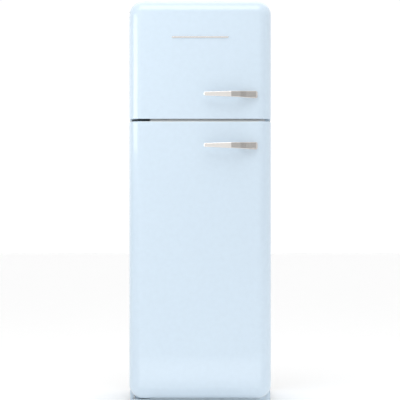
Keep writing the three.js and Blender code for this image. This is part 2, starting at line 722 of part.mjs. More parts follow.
function buildMachine() {
  const machine = new THREE.Group();
  const trayHalf = machineHalf - TOUCH;
  const trayFront = machineFront + TRAY_SETBACK;
  const trayRear = cabinetRear - TRAY_SETBACK;
  const trayTop = TRAY_HEIGHT + LINER;
  const tray = box(-trayHalf, trayHalf, trayFront, trayRear, TRAY_HEIGHT, trayTop)
    .add(box(
      -trayHalf, trayHalf, trayFront, trayFront + LINER, TRAY_HEIGHT, TRAY_HEIGHT + TRAY_LIP,
    ));
  piece(machine, 'compressor_tray', tray, zincSteel);

  const compressorY = (machineFront + cabinetRear) / 2;
  const R = COMPRESSOR_RADIUS;
  const H = COMPRESSOR_HEIGHT;
  const pot = turned([
    [0, 0], [R * 0.7, 0], [R * 0.93, H * 0.14], [R * 0.96, H * 0.5], [R, H * 0.52],
    [R, H * 0.57], [R * 0.96, H * 0.59], [R * 0.9, H * 0.85], [R * 0.62, H * 0.97], [0, H],
  ], 24).scale([COMPRESSOR_STRETCH, 1, 1]).translate(0, 0, COMPRESSOR_LEG);
  const footX = R * COMPRESSOR_STRETCH + COMPRESSOR_LEG_OUT;
  const footY = R * 0.72;
  const plateX = footX + COMPRESSOR_PLATE_EDGE;
  const plateY = footY + COMPRESSOR_LEG_RADIUS;
  const plate = box(
    -plateX, plateX, -plateY, plateY, COMPRESSOR_LEG, COMPRESSOR_LEG + COMPRESSOR_PLATE,
  );
  const legs = [[-1, -1], [-1, 1], [1, -1], [1, 1]].map(([sx, sy]) => rodZ(
    sx * footX, sy * footY, 0, COMPRESSOR_LEG + 1, COMPRESSOR_LEG_RADIUS, 12,
  ));
  piece(machine, 'compressor', join([pot, plate, ...legs]), blackEnamel,
    [COMPRESSOR_X, compressorY, trayTop + TOUCH]);

  const potRight = COMPRESSOR_X + R * COMPRESSOR_STRETCH;
  const coverLow = trayTop + TERMINAL_UP;
  piece(machine, 'terminal_cover', box(
    potRight + TOUCH, potRight + TERMINAL_WIDTH,
    compressorY - TERMINAL_DEPTH / 2, compressorY + TERMINAL_DEPTH / 2,
    coverLow, coverLow + TERMINAL_HEIGHT,
  ), blackPlastic);

  const dripBottom = trayTop + COMPRESSOR_LEG + H + 2 * TOUCH;
  const dripHalf = R * COMPRESSOR_STRETCH;
  const dripDepth = R - DRIP_TRAY_INSET;
  const dripPlan = (inset) => roundedRect(
    -dripHalf + inset, dripHalf - inset, -dripDepth + inset, dripDepth - inset,
    DRIP_TRAY_RADIUS - inset, DRIP_TRAY_RADIUS - inset,
  );
  const drip = prismZ(dripPlan(0), 0, DRIP_TRAY_HEIGHT)
    .subtract(prismZ(dripPlan(MOULDING), MOULDING, DRIP_TRAY_HEIGHT + 1));
  piece(machine, 'evaporation_tray', drip, blackPlastic, [COMPRESSOR_X, compressorY, dripBottom]);

  const drier = turned([[0, 0], [3, 6], [9, 14], [9, 90], [3, 98], [0, 104]], 14);
  piece(machine, 'filter_drier', drier, copper,
    [DRIER_X, compressorY + DRIER_BEHIND, DRIER_BOTTOM]);

  const inletRear = cabinetRear - INLET_FROM_REAR;
  piece(machine, 'power_inlet', box(
    machineHalf - INLET_WIDTH, machineHalf - TOUCH, inletRear - INLET_DEPTH, inletRear,
    INLET_BOTTOM, INLET_BOTTOM + INLET_HEIGHT,
  ), blackPlastic);

  const coilY = cabinetRear + COIL_STAND_OFF;
  const coilTop = HEIGHT - COIL_TOP_MARGIN;
  piece(machine, 'condenser_coil', pipe(
    serpentine(coilY, COIL_BOTTOM, coilTop), COIL_RADIUS,
  ), blackEnamel);

  const coilStart = COIL_HALF_WIDTH - (coilTop - COIL_BOTTOM) / (COIL_PASSES - 1) / 2;
  const lead = TOUCH + PIPE_RADIUS;
  piece(machine, 'discharge_pipe', pipe(curved([
    [potRight - 8, compressorY + 42, 150 + trayTop],
    [potRight + 30, compressorY + 52, 152 + trayTop],
    [potRight + 90, compressorY + 60, 190 + trayTop],
    [coilStart - 60, cabinetRear - 22, 262],
    [coilStart, coilY, COIL_BOTTOM - 44],
    [coilStart + 16, coilY, COIL_BOTTOM - 22],
    [coilStart + lead, coilY, COIL_BOTTOM],
  ], 26), PIPE_RADIUS), copper);
  const potLeft = COMPRESSOR_X - R * COMPRESSOR_STRETCH;
  piece(machine, 'suction_pipe', pipe(curved([
    [potLeft - 4, compressorY - 4, 120 + trayTop],
    [potLeft - 26, compressorY - 8, 130 + trayTop],
    [potLeft - 40, compressorY - 12, 170 + trayTop],
    [potLeft - 42, compressorY - 12, MACHINE_TOP - 22],
    [potLeft - 42, compressorY - 12, MACHINE_TOP - TOUCH],
  ], 16), PIPE_RADIUS), copper);

  const wireFront = coilY + PIPE_RADIUS + TOUCH;
  const wireHalf = COIL_HALF_WIDTH - WIRE_MARGIN;
  const wireLow = COIL_BOTTOM - WIRE_OVERRUN;
  const wireHigh = coilTop + WIRE_OVERRUN;
  const wires = Array.from({ length: WIRE_COUNT }, (_, i) => {
    const x = -wireHalf + (i * 2 * wireHalf) / (WIRE_COUNT - 1);
    return box(x - WIRE / 2, x + WIRE / 2, wireFront, wireFront + WIRE, wireLow, wireHigh);
  });
  const railHalf = COIL_HALF_WIDTH + SPACER_OUT;
  const railMiddles = [wireLow + WIRE_RAIL / 2, wireHigh - WIRE_RAIL / 2];
  const rails = railMiddles.map((z) => box(
    -railHalf, railHalf, wireFront, wireFront + WIRE, z - WIRE_RAIL / 2, z + WIRE_RAIL / 2,
  ));
  const spacers = [-1, 1].flatMap((side) => railMiddles.map((z) => box(
    side * railHalf - SPACER_WIDTH / 2, side * railHalf + SPACER_WIDTH / 2,
    cabinetRear + TOUCH, DEPTH / 2, z - SPACER_HEIGHT / 2, z + SPACER_HEIGHT / 2,
  )));
  piece(machine, 'condenser_wires', join([...rails, ...spacers, ...wires]), blackEnamel);
  return machine;
}

// ---- Feet and rollers ------------------------------------------------------
function levellingFoot() {
  const pad = turned([
    [0, 0], [FOOT_RADIUS, 0], [FOOT_RADIUS, PAD_EDGE], [FOOT_RADIUS - PAD_SHOULDER, PAD_HEIGHT],
    [0, PAD_HEIGHT],
  ]);
  return join([
    pad, rodZ(0, 0, PAD_HEIGHT - 1, NUT_TOP, NUT_RADIUS, 6),
    rodZ(0, 0, NUT_TOP - 1, STUD_TOP, STUD_RADIUS),
  ]);
}

function rollerRing() {
  const half = ROLLER_WIDTH / 2;
  const bore = AXLE_RADIUS + RUNNING;
  const ring = turned([
    [bore, -half], [ROLLER_RADIUS - 1, -half], [ROLLER_RADIUS, 1 - half],
    [ROLLER_RADIUS, half - 1], [ROLLER_RADIUS - 1, half], [bore, half], [bore, -half],
  ]);
  return ring.rotate(0, 90, 0);
}

function rollerBracket() {
  const inner = ROLLER_WIDTH / 2 + RUNNING * 3;
  const outer = inner + BRACKET_PLATE;
  const top = TRAY_HEIGHT - TOUCH - ROLLER_RADIUS;
  const reach = ROLLER_RADIUS + 4;
  const cheeks = [-1, 1].map((side) => box(
    side > 0 ? inner : -outer, side > 0 ? outer : -inner, -10, 10, -6, top,
  ));
  const roof = box(-outer, outer, -reach, reach, top - BRACKET_PLATE, top);
  return join([...cheeks, roof, rodX(0, 0, -outer - 1, outer + 1, AXLE_RADIUS)]);
}

function buildRunning() {
  const running = new THREE.Group();
  const rollerY = cabinetRear - ROLLER_FROM_REAR;
  for (const [name, side] of [['left', -1], ['right', 1]]) {
    piece(running, `front_foot_${name}`, levellingFoot(), blackPlastic,
      [side * FOOT_X, cabinetFront + FOOT_SETBACK, 0]);
    const place = [side * ROLLER_X, rollerY, ROLLER_RADIUS];
    piece(running, `rear_roller_${name}`, rollerRing(), blackPlastic, place);
    piece(running, `roller_bracket_${name}`, rollerBracket(), zincSteel, place);
  }
  return running;
}

// ---- Hinges ----------------------------------------------------------------
function hingePin(z0, z1) {
  return rodZ(hingeX, hingeY, z0, z1, PIN_RADIUS - TOUCH, 12);
}

function pinHole(z0, z1) {
  return rodZ(hingeX, hingeY, z0, z1, PIN_RADIUS, 12);
}

function buildHinges() {
  const hinges = new THREE.Group();
  const left = hingeX - BRACKET_LEFT;
  const face = cabinetFront - TOUCH;
  const flangeFront = face - BRACKET_FLANGE;
  const eye = PIN_RADIUS + BRACKET_EYE_WALL;

  const middle = join([
    box(left, left + BRACKET_WIDTH, hingeY - eye, face,
      gapMiddle - BRACKET / 2, gapMiddle + BRACKET / 2),
    box(flangeStart, left + BRACKET_WIDTH, flangeFront, face,
      gapMiddle - MIDDLE_FLANGE / 2, gapMiddle + MIDDLE_FLANGE / 2),
  ]).subtract(pinHole(gapMiddle - BRACKET, gapMiddle + BRACKET));
  piece(hinges, 'middle_hinge_bracket', middle, darkSteel);
  piece(hinges, 'middle_hinge_pin', hingePin(
    gapMiddle - DOOR_GAP / 2 - PIN_REACH, gapMiddle + DOOR_GAP / 2 + PIN_REACH,
  ), zincSteel);

  const plateTop = DOOR_BOTTOM - BRACKET_UNDER_DOOR;
  const bottom = join([
    box(left, left + BRACKET_WIDTH, hingeY - eye, face, plateTop - BRACKET, plateTop),
    box(flangeStart, left + BRACKET_WIDTH, flangeFront, face,
      plateTop - BRACKET - BRACKET_FLANGE, DOOR_BOTTOM + GASKET_FROM_BOTTOM - BRACKET_BELOW_GASKET),
  ]).subtract(pinHole(plateTop - 2 * BRACKET, plateTop + 1));
  piece(hinges, 'bottom_hinge_bracket', bottom, bluePaint);
  piece(hinges, 'bottom_hinge_pin', hingePin(plateTop - BRACKET, DOOR_BOTTOM + PIN_REACH), zincSteel);

  const armBottom = slotBottom + (TOP_SLOT_HEIGHT - BRACKET) / 2;
  const neckLeft = hingeX - TOP_NECK_LEFT;
  const neckRight = hingeX + TOP_NECK_RIGHT;
  const top = join([
    rodZ(hingeX, hingeY, armBottom, armBottom + BRACKET, PIN_RADIUS + 6),
    box(neckLeft, neckRight, hingeY, face, armBottom, armBottom + BRACKET),
    box(neckLeft, neckRight, flangeFront, face,
      slotBottom + PLAY, slotBottom + TOP_SLOT_HEIGHT - PLAY),
  ]).subtract(pinHole(armBottom - 1, armBottom + BRACKET + 1));
  piece(hinges, 'top_hinge_bracket', top, darkSteel);
  piece(hinges, 'top_hinge_pin', hingePin(slotBottom - PIN_REACH, armBottom + BRACKET), zincSteel);
  return hinges;
}

// ---- Doors -----------------------------------------------------------------
// The two door fronts are one pillow cut by the gap between them: its edge is
// a quarter ellipse all round, and the cut edges at the gap are plain.
function pillow(inset) {
  const shape = roundedRect(
    -halfWidth + inset, halfWidth - inset, DOOR_BOTTOM + inset, HEIGHT - inset,
    CORNER_RADIUS - inset, CORNER_RADIUS - inset,
  );
  const bevel = PILLOW_WIDTH - inset;
  const thickness = PILLOW_DEPTH - inset;
  const geometry = new THREE.ExtrudeGeometry(shape, {
    depth: DOOR_DEPTH,
    bevelSize: bevel,
    bevelOffset: -bevel,
    bevelThickness: thickness,
    bevelSegments: 5,
    curveSegments: 4,
  });
  geometry.rotateX(Math.PI / 2);
  geometry.translate(0, doorFront + inset + thickness + DOOR_DEPTH, 0);
  return toSolid(geometry);
}

function doorSlab(low, high, inset, rear) {
  return pillow(inset).intersect(box(-WIDTH, WIDTH, -DEPTH, rear, low + inset, high - inset));
}

function dyke(half, low, high, inset, front, rear) {
  const outer = roundedRect(
    -half + inset, half - inset, low + inset, high - inset,
    DYKE_RADIUS - inset, DYKE_RADIUS - inset,
  );
  const width = DYKE_WIDTH - inset;
  const radius = DYKE_RADIUS / 2;
  const inner = roundedRect(-half + width, half - width, low + width, high - width, radius, radius);
  return prismY(outer, front, rear - inset, 2)
    .subtract(prismY(inner, front - 1, rear + 1, 2));
}

function gasket(half, low, high) {
  const outer = roundedRect(-half, half, low, high, GASKET_RADIUS, GASKET_RADIUS);
  const inner = roundedRect(
    -half + GASKET_WIDTH, half - GASKET_WIDTH, low + GASKET_WIDTH, high - GASKET_WIDTH,
    GASKET_INNER_RADIUS, GASKET_INNER_RADIUS,
  );
  const front = doorRear + TOUCH;
  const rear = cabinetFront - TOUCH;
  return prismY(outer, front, rear, 1).subtract(prismY(inner, front - 1, rear + 1, 1));
}

// A tray open at the top, rounded at its two corners away from the door.
function balcony(half, depth, height) {
  const shape = (inset) => roundedRect(
    -half + inset, half - inset, inset, depth - inset, 0, BALCONY_RADIUS - inset,
  );
  return prismZ(shape(0), 0, height).subtract(prismZ(shape(MOULDING), MOULDING, height + 1));
}

function doorLedges(half, z) {
  return [-1, 1].map((side) => {
    const inner = side * (half - DYKE_WIDTH - LEDGE);
    const outer = side * (half - DYKE_WIDTH + LINER / 2);
    return box(
      Math.min(inner, outer), Math.max(inner, outer),
      doorRear - LINER / 2, dykeRear - DOOR_LEDGE_SHORT, z - TOUCH - LEDGE_HEIGHT, z - TOUCH,
    );
  });
}

function handle() {
  const tip = HANDLE_RIGHT - HANDLE_LENGTH;
  const crest = tip + 114;
  const shoulder = tip + 153;
  const heel = tip + 177;
  const plan = outline([
    [tip, 27], [tip, 31], [tip + 3, 33.5], [crest, HANDLE_REACH], [shoulder, 41], [heel, 27],
    [HANDLE_RIGHT - 5, 15], [HANDLE_RIGHT, 10], [HANDLE_RIGHT, TOUCH],
    [heel - 7, TOUCH], [heel - 12, 10], [shoulder - 11, 28], [crest, 36],
  ].map(([x, reach]) => [x, doorFront - reach]).reverse());
  const front = outline([
    [tip + 3, -8.5], [HANDLE_RIGHT - 4, -19], [HANDLE_RIGHT, -15], [HANDLE_RIGHT, 9],
    [HANDLE_RIGHT - 4, 13], [tip + 3, 8.5], [tip, 5.5], [tip, -5.5],
  ]);
  return prismZ(plan, -30, 30).intersect(prismY(front, -DEPTH / 2 - 1, doorFront + 1));
}

function buildDoor(name, sizes) {
  const { low, high, cavityHalf, cavityLow, cavityHigh, gasketHalf, gasketLow, gasketHigh } = sizes;
  const door = new THREE.Group();
  const holes = sizes.pinHoles.map(([z0, z1]) => pinHole(z0, z1));
  const cut = (solid, extra) => join([...holes, ...extra]).isEmpty()
    ? solid : solid.subtract(join([...holes, ...extra]));
  const slot = (grow) => (sizes.slotted ? [box(
    -WIDTH, hingeX + TOP_SLOT_RIGHT + grow, hingeY - TOP_SLOT_FRONT - grow, doorRear + 1,
    slotBottom - grow, slotBottom + TOP_SLOT_HEIGHT + grow,
  )] : []);

  const skin = doorSlab(low, high, 0, doorRear)
    .subtract(doorSlab(low, high, SKIN, doorRear + 1));
  piece(door, `${name}_door_skin`, cut(skin, slot(0)), bluePaint);

  const dykeHalf = cavityHalf - DYKE_CLEARANCE;
  const dykeLow = cavityLow + DYKE_CLEARANCE;
  const dykeHigh = cavityHigh - DYKE_CLEARANCE;
  const bonded = LINER + TOUCH;
  const foam = doorSlab(low, high, SKIN + TOUCH, doorRear - bonded)
    .add(dyke(dykeHalf, dykeLow, dykeHigh, bonded, doorRear - 2 * bonded, dykeRear));
  piece(door, `${name}_door_foam`, cut(foam, slot(TOUCH)), foamYellow);

  const plate = doorSlab(low, high, SKIN + TOUCH, doorRear)
    .intersect(box(-WIDTH, WIDTH, doorRear - LINER, doorRear, 0, HEIGHT));
  const shell = plate.add(dyke(dykeHalf, dykeLow, dykeHigh, 0, doorRear - LINER, dykeRear))
    .subtract(dyke(dykeHalf, dykeLow, dykeHigh, LINER, doorRear - LINER - 1, dykeRear));
  const ledgeSolids = sizes.ledgeHeights.flatMap((z) => doorLedges(dykeHalf, z));
  piece(door, `${name}_door_liner`, cut(join([shell, ...ledgeSolids]), slot(0)), whiteLiner);

  piece(door, `${name}_door_gasket`, gasket(gasketHalf, gasketLow, gasketHigh), greySeal);
  piece(door, `${name}_door_handle`, handle(), chrome, [0, 0, sizes.handleZ]);
  return door;
}

function buildFreezerDoor() {
  const low = gapMiddle + DOOR_GAP / 2;
  const balconyZ = freezerBottom + DYKE_CLEARANCE + FREEZER_BALCONY_UP;
  const door = buildDoor('freezer', {
    low, high: HEIGHT + SKIN,
    cavityHalf: freezerHalf, cavityLow: freezerBottom, cavityHigh: freezerTop,
    gasketHalf: halfWidth - FREEZER_GASKET_INSET,
    gasketLow: low + GASKET_FROM_GAP,
    gasketHigh: HEIGHT - GASKET_FROM_TOP,
    pinHoles: [[low - 1, low + PIN_REACH + 1], [slotBottom - PIN_REACH - 1, slotBottom + 1]],
    slotted: true,
    ledgeHeights: [balconyZ],
    handleZ: gapMiddle + HANDLE_ABOVE_GAP,
  });
  const half = freezerHalf - DYKE_CLEARANCE - DYKE_WIDTH - TOUCH;
  piece(door, 'freezer_door_balcony', balcony(half, FREEZER_BALCONY_DEPTH, FREEZER_BALCONY_HEIGHT),
    clearPlastic, [0, doorRear + TOUCH, balconyZ]);
  const badge = prismY(roundedRect(
    -BADGE_LENGTH / 2, BADGE_LENGTH / 2, -BADGE_HEIGHT / 2, BADGE_HEIGHT / 2,
    BADGE_HEIGHT / 2 - 0.1, BADGE_HEIGHT / 2 - 0.1,
  ), doorFront - BADGE_PROUD, doorFront - TOUCH, 2);
  piece(door, 'badge_bar', badge, chrome, [0, 0, HEIGHT - BADGE_FROM_TOP]);
  return door;
}

function buildFridgeDoor() {
  const high = gapMiddle - DOOR_GAP / 2;
  const bottleZ = coverBottom + BOTTLE_BALCONY_UP;
  const dairyZ = fridgeTop - DAIRY_FROM_TOP;
  const middleZ = bottleZ + MIDDLE_BALCONY_SHARE * (dairyZ - bottleZ);
  const door = buildDoor('fridge', {
    low: DOOR_BOTTOM - SKIN, high,
    cavityHalf: fridgeHalf, cavityLow: FRIDGE_FLOOR, cavityHigh: fridgeTop,
    gasketHalf: halfWidth - FRIDGE_GASKET_INSET,
    gasketLow: DOOR_BOTTOM + GASKET_FROM_BOTTOM,
    gasketHigh: high - GASKET_FROM_GAP,
    pinHoles: [[DOOR_BOTTOM - 1, DOOR_BOTTOM + PIN_REACH + 1], [high - PIN_REACH - 1, high + 1]],
    slotted: false,
    ledgeHeights: [bottleZ, middleZ, dairyZ],
    handleZ: gapMiddle - HANDLE_BELOW_GAP,
  });
  const half = fridgeHalf - DYKE_CLEARANCE - DYKE_WIDTH - TOUCH;
  const backY = doorRear + TOUCH;
  piece(door, 'bottle_balcony', balcony(half, BALCONY_DEPTH, BOTTLE_BALCONY_HEIGHT),
    clearPlastic, [0, backY, bottleZ]);
  piece(door, 'middle_balcony', balcony(half, BALCONY_DEPTH, BALCONY_HEIGHT),
    clearPlastic, [0, backY, middleZ]);
  piece(door, 'dairy_box', balcony(half, BALCONY_DEPTH, DAIRY_HEIGHT),
    clearPlastic, [0, backY, dairyZ]);

  // The lid turns on a knuckle along its edge next to the door.
  const lidHalf = half - PLAY;
  const lidDepth = BALCONY_DEPTH - MOULDING - 2 * DAIRY_PIN - TOUCH;
  const lid = prismZ(roundedRect(
    -lidHalf, lidHalf, 0, lidDepth, 0, BALCONY_RADIUS - PLAY,
  ), -DAIRY_PIN, -DAIRY_PIN + MOULDING)
    .add(rodX(0, 0, -lidHalf, lidHalf, DAIRY_PIN, 12));
  piece(door, 'dairy_cover', lid, clearPlastic, [
    0, backY + MOULDING + DAIRY_PIN + TOUCH, dairyZ + DAIRY_HEIGHT + DAIRY_PIN + TOUCH,
  ]);
  return door;
}

refrigerator.add(
  buildCabinet(), buildFittings(), buildControls(), buildMachine(), buildRunning(),
  buildHinges(), buildFreezerDoor(), buildFridgeDoor(),
);

export default refrigerator;
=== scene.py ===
import json
from math import cos, pi, radians, sin

import bpy
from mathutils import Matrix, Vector

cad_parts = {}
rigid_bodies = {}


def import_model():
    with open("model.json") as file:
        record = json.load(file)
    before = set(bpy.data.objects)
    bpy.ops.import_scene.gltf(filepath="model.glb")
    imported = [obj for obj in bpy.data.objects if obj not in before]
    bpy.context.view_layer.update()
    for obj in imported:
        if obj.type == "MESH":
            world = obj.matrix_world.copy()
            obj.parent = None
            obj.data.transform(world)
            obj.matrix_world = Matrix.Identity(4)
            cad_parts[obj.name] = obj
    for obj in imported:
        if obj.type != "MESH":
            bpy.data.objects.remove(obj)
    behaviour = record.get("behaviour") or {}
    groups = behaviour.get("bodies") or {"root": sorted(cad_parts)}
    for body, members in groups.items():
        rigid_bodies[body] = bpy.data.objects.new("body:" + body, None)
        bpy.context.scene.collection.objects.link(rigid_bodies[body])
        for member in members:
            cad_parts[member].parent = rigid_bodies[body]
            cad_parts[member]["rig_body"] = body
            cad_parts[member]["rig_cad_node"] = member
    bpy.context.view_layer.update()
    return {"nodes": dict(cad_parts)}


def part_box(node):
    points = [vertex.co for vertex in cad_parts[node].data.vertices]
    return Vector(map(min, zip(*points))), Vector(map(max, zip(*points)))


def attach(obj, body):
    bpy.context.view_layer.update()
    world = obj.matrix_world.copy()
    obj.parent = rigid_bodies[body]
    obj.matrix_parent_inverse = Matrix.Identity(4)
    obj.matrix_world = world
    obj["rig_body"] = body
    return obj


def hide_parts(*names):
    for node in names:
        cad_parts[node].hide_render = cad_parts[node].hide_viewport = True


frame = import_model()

bl_info = {
    "name": "Top freezer refrigerator",
    "version": (1, 0, 0),
    "blender": (4, 5, 0),
    "location": "View3D > Sidebar > Refrigerator",
    "description": "Builds the looks of a pillow-fronted top freezer refrigerator round its frame",
    "category": "Mesh",
}

# All sizes are metres, in the frame's own axes: +X right, -Y front, +Z up.
MM = 0.001
# Two places closer than this are the same.
SMALL = 1e-5


# ---- Frame stations --------------------------------------------------------
def low(node):
    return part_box(node)[0]


def high(node):
    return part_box(node)[1]


DOOR_FRONT = low("fridge_door_skin").y
DOOR_REAR = high("fridge_door_skin").y
CABINET_FRONT = low("cabinet_wrapper").y
HALF_WIDTH = high("fridge_door_skin").x
CABINET_HALF = high("cabinet_wrapper").x
TOP = high("freezer_door_skin").z
GAP_TOP = low("freezer_door_skin").z
GAP_BOTTOM = high("fridge_door_skin").z
DOOR_BOTTOM = low("fridge_door_skin").z


# ---- Fixed sizes -----------------------------------------------------------
# Room that two pieces leave each other.
TOUCH = 0.3 * MM

# Each room of the cabinet: its lower left and upper right corner, and how far back it goes.
FRIDGE_ROOM = ((-255 * MM, 115 * MM), (255 * MM, 1185 * MM), 278 * MM)
FREEZER_ROOM = ((-240 * MM, 1245 * MM), (240 * MM, 1655 * MM), 268 * MM)
FRIDGE_LEVELS = ("crisper_cover", "bottle_rack", "shelf_1", "shelf_2", "shelf_3")
ROOM_WALL = 2 * MM

# The raised frame on a door's inner side: half its width, its bottom and its top.
FRIDGE_DYKE = (245 * MM, 125 * MM, 1175 * MM)
FREEZER_DYKE = (230 * MM, 1255 * MM, 1645 * MM)
DYKE_WIDTH = 28 * MM

# Ledges that shelves and balconies rest on, and how far they reach into their wall.
LEDGE = 8 * MM
LEDGE_HEIGHT = 6 * MM
LEDGE_SINK = 1 * MM

# Room round the top hinge's neck in its slot: over and under it, before it and beside it.
SLOT_PLAY = 1.5 * MM
SLOT_FRONT = 10 * MM
SLOT_SIDE = 5 * MM

# The camera, and how much it sees across at the doors' front. The sensor is in millimetres.
CAMERA_SIDE = -0.0008
CAMERA_HEIGHT = 0.878
CAMERA_DISTANCE = 7.0
VIEW_WIDTH = 1.684
SENSOR_WIDTH = 36
FLOOR_SIZE = 40

# Each light: its name, its place, the point that it faces, its width and height, and its watts.
LIGHTS = (
    ("left_softbox", (-1.62, -1.05, 1.48), (-0.25, DOOR_FRONT, 1.48), 1.15, 0.7, 8.2),
    ("overhead_softbox", (-0.2, -1.75, 3.9), (0, DOOR_FRONT, 1.7), 2.4, 1.9, 29),
    ("floor_fill", (0, -1.15, 0.075), (0, DOOR_FRONT, 0.07), 1.2, 0.1, 0.45),
)

# Grey levels before the object, from the far left (0) to the far right (1). The sky's hold well
# over and under the horizon. Near it, a white card stands left of the middle, and the levels fall
# to a dark flag on the right.
SKY_LEVELS = ((0.0, 0.19), (0.2, 0.4), (0.4, 0.58), (0.6, 0.7), (0.8, 0.75), (1.0, 0.8))
CARD_LEVELS = (
    (0.0, 0.19), (0.2, 0.5), (0.32, 0.95), (0.45, 0.9), (0.56, 0.7), (0.64, 0.52), (0.78, 0.48),
    (0.93, 0.34), (1.0, 0.8),
)
# The white behind the object, which the camera sees on every side.
WHITE_LEVEL = 1.02


# ---- Settings --------------------------------------------------------------
def linear(hex_colour):
    """A linear RGBA colour from an sRGB hex value such as "d6e4f0"."""
    channels = [int(hex_colour[i:i + 2], 16) / 255 for i in (0, 2, 4)]
    return [c / 12.92 if c <= 0.04045 else ((c + 0.055) / 1.055) ** 2.4 for c in channels] + [1.0]


def colour(name, description, hex_colour):
    return bpy.props.FloatVectorProperty(
        name=name, description=description, subtype="COLOR", size=4, min=0, max=1,
        default=linear(hex_colour),
    )


def length(name, description, default):
    return bpy.props.FloatProperty(
        name=name, description=description, default=default, min=0,
        subtype="DISTANCE", unit="LENGTH",
    )


class FridgeShape(bpy.types.PropertyGroup):
    """Sizes that the pressed steel and the trims take."""
    corner_radius: length("Corner radius", "Radius of the doors' outline at its corners", 60 * MM)
    pillow_radius: length("Pillow radius", "Radius of the doors' rolled edge", 54 * MM)
    upper_gap_radius: length("Upper gap edge", "Radius of the upper door's edge at the gap", 2.5 * MM)
    lower_gap_radius: length("Lower gap edge", "Radius of the lower door's edge at the gap", 6 * MM)
    skin: length("Skin", "Thickness of the doors' steel skin", 1.2 * MM)
    sheet: length("Sheet", "Thickness of the cabinet's steel sheet", 1 * MM)
    flange: length("Flange", "Width of the cabinet's front flange", 22 * MM)
    trim_rise: length("Trim rise", "How far the shelves' trims stand over the glass", 4 * MM)
    coil_wire: length("Condenser wire", "Diameter of the condenser's fin wires", 1.9 * MM)
    coil_pitch: length("Wire pitch", "Distance between the condenser's fin wires", 8 * MM)
    screw: length("Screw head", "Diameter of the hinge screws' heads", 9 * MM)


class FridgeColours(bpy.types.PropertyGroup):
    """Colours that a user would change."""
    body: colour("Body", "Enamelled steel of doors and cabinet", "d5e6f4")
    interior: colour("Interior", "Formed polystyrene liners", "eef1f2")
    trim: colour("Trim", "White moulded trims", "f2f3f3")
    seal: colour("Seal", "Door gaskets", "c4c9cd")
    chrome: colour("Chrome", "Plated handles, badge and rack", "f0ece8")
    hinge: colour("Hinge", "Phosphated hinge steel", "54595d")
    floor: colour("Floor", "Studio floor", "ffffff")


# ---- Materials -------------------------------------------------------------
def add_node(tree, kind, settings=None, values=None, links=None):
    """Adds a node of this kind, with its settings, its fixed values and its incoming links."""
    made = tree.nodes.new(kind)
    for key, value in (settings or {}).items():
        setattr(made, key, value)
    for key, value in (values or {}).items():
        made.inputs[key].default_value = value
    for key, socket in (links or {}).items():
        tree.links.new(socket, made.inputs[key])
    return made


def new_material(name, values):
    """A material with a Principled shader that holds these values, and its object coordinates."""
    material = bpy.data.materials.new(name)
    material.use_nodes = True
    tree = material.node_tree
    shader = tree.nodes["Principled BSDF"]
    for key, value in values.items():
        shader.inputs[key].default_value = value
    place = add_node(tree, "ShaderNodeTexCoord").outputs["Object"]
    return material, tree, shader, place


def blend_colours(tree, shader, factor, first, second):
    """The shader's base colour runs from the first colour to the second."""
    mix = add_node(tree, "ShaderNodeMix", {"data_type": "RGBA"}, links={"Factor": factor})
    mix.inputs["A"].default_value = first
    mix.inputs["B"].default_value = second
    tree.links.new(mix.outputs["Result"], shader.inputs["Base Color"])


def shaded(rgba, share):
    return [c * share for c in rgba[:3]] + [1.0]


def surface(name, rgba, roughness, grain, depth, mottle, **values):
    """A moulded, plated or painted surface.

    grain is the size of its fine relief, and depth how high that stands.
    mottle is the size of the slow drift in its colour and gloss. All three are in metres.
    """
    material, tree, shader, place = new_material(name, values)
    drift = add_node(tree, "ShaderNodeTexNoise", values={"Scale": 1 / mottle, "Detail": 3.0},
                     links={"Vector": place})
    blend_colours(tree, shader, drift.outputs["Fac"], rgba, shaded(rgba, 0.94))
    gloss = add_node(tree, "ShaderNodeMapRange",
                     values={"To Min": roughness * 0.85, "To Max": roughness * 1.2},
                     links={"Value": drift.outputs["Fac"]})
    tree.links.new(gloss.outputs["Result"], shader.inputs["Roughness"])
    relief = add_node(tree, "ShaderNodeTexNoise", values={"Scale": 1 / grain, "Detail": 2.0},
                      links={"Vector": place})
    bump = add_node(tree, "ShaderNodeBump", values={"Strength": 0.6, "Distance": depth},
                    links={"Height": relief.outputs["Fac"]})
    tree.links.new(bump.outputs["Normal"], shader.inputs["Normal"])
    return material


def enamelled_steel(colours):
    # Enamelled steel, sprayed and stoved: glossy, with a faint orange peel under a clear coat.
    return surface("enamelled_steel", colours.body, 0.3, 7 * MM, 0.02 * MM, 0.02,
                   **{"Coat Weight": 0.7, "Coat Roughness": 0.06, "Coat IOR": 1.5})


def formed_polystyrene(colours):
    # High-impact polystyrene, vacuum formed: satin white, slightly uneven where it stretched.
    return surface("formed_polystyrene", colours.interior, 0.32, 3 * MM, 0.03 * MM, 0.12,
                   **{"IOR": 1.59, "Subsurface Weight": 0.04, "Subsurface Scale": 0.004})


def moulded_abs(colours):
    # ABS, injection moulded: even white with a fine spark-eroded grain.
    return surface("moulded_abs", colours.trim, 0.38, 0.8 * MM, 0.02 * MM, 0.05, **{"IOR": 1.54})


def pvc_gasket(colours):
    # Soft PVC, extruded: matt, with slow waves from its magnet strip.
    return surface("extruded_pvc", colours.seal, 0.62, 9 * MM, 0.15 * MM, 0.06, **{"IOR": 1.53})


def chromed_zinc(colours):
    # Die-cast zinc, polished and chrome plated: bright, with soft polishing waves.
    return surface("chromed_die_cast_zinc", colours.chrome, 0.13, 12 * MM, 0.02 * MM, 0.05,
                   Metallic=1.0)


def phosphated_steel(colours):
    # Pressed steel, zinc phosphated: dull dark grey with a fine crystal grain.
    return surface("phosphated_steel", colours.hinge, 0.5, 0.6 * MM, 0.02 * MM, 0.02, Metallic=0.6)


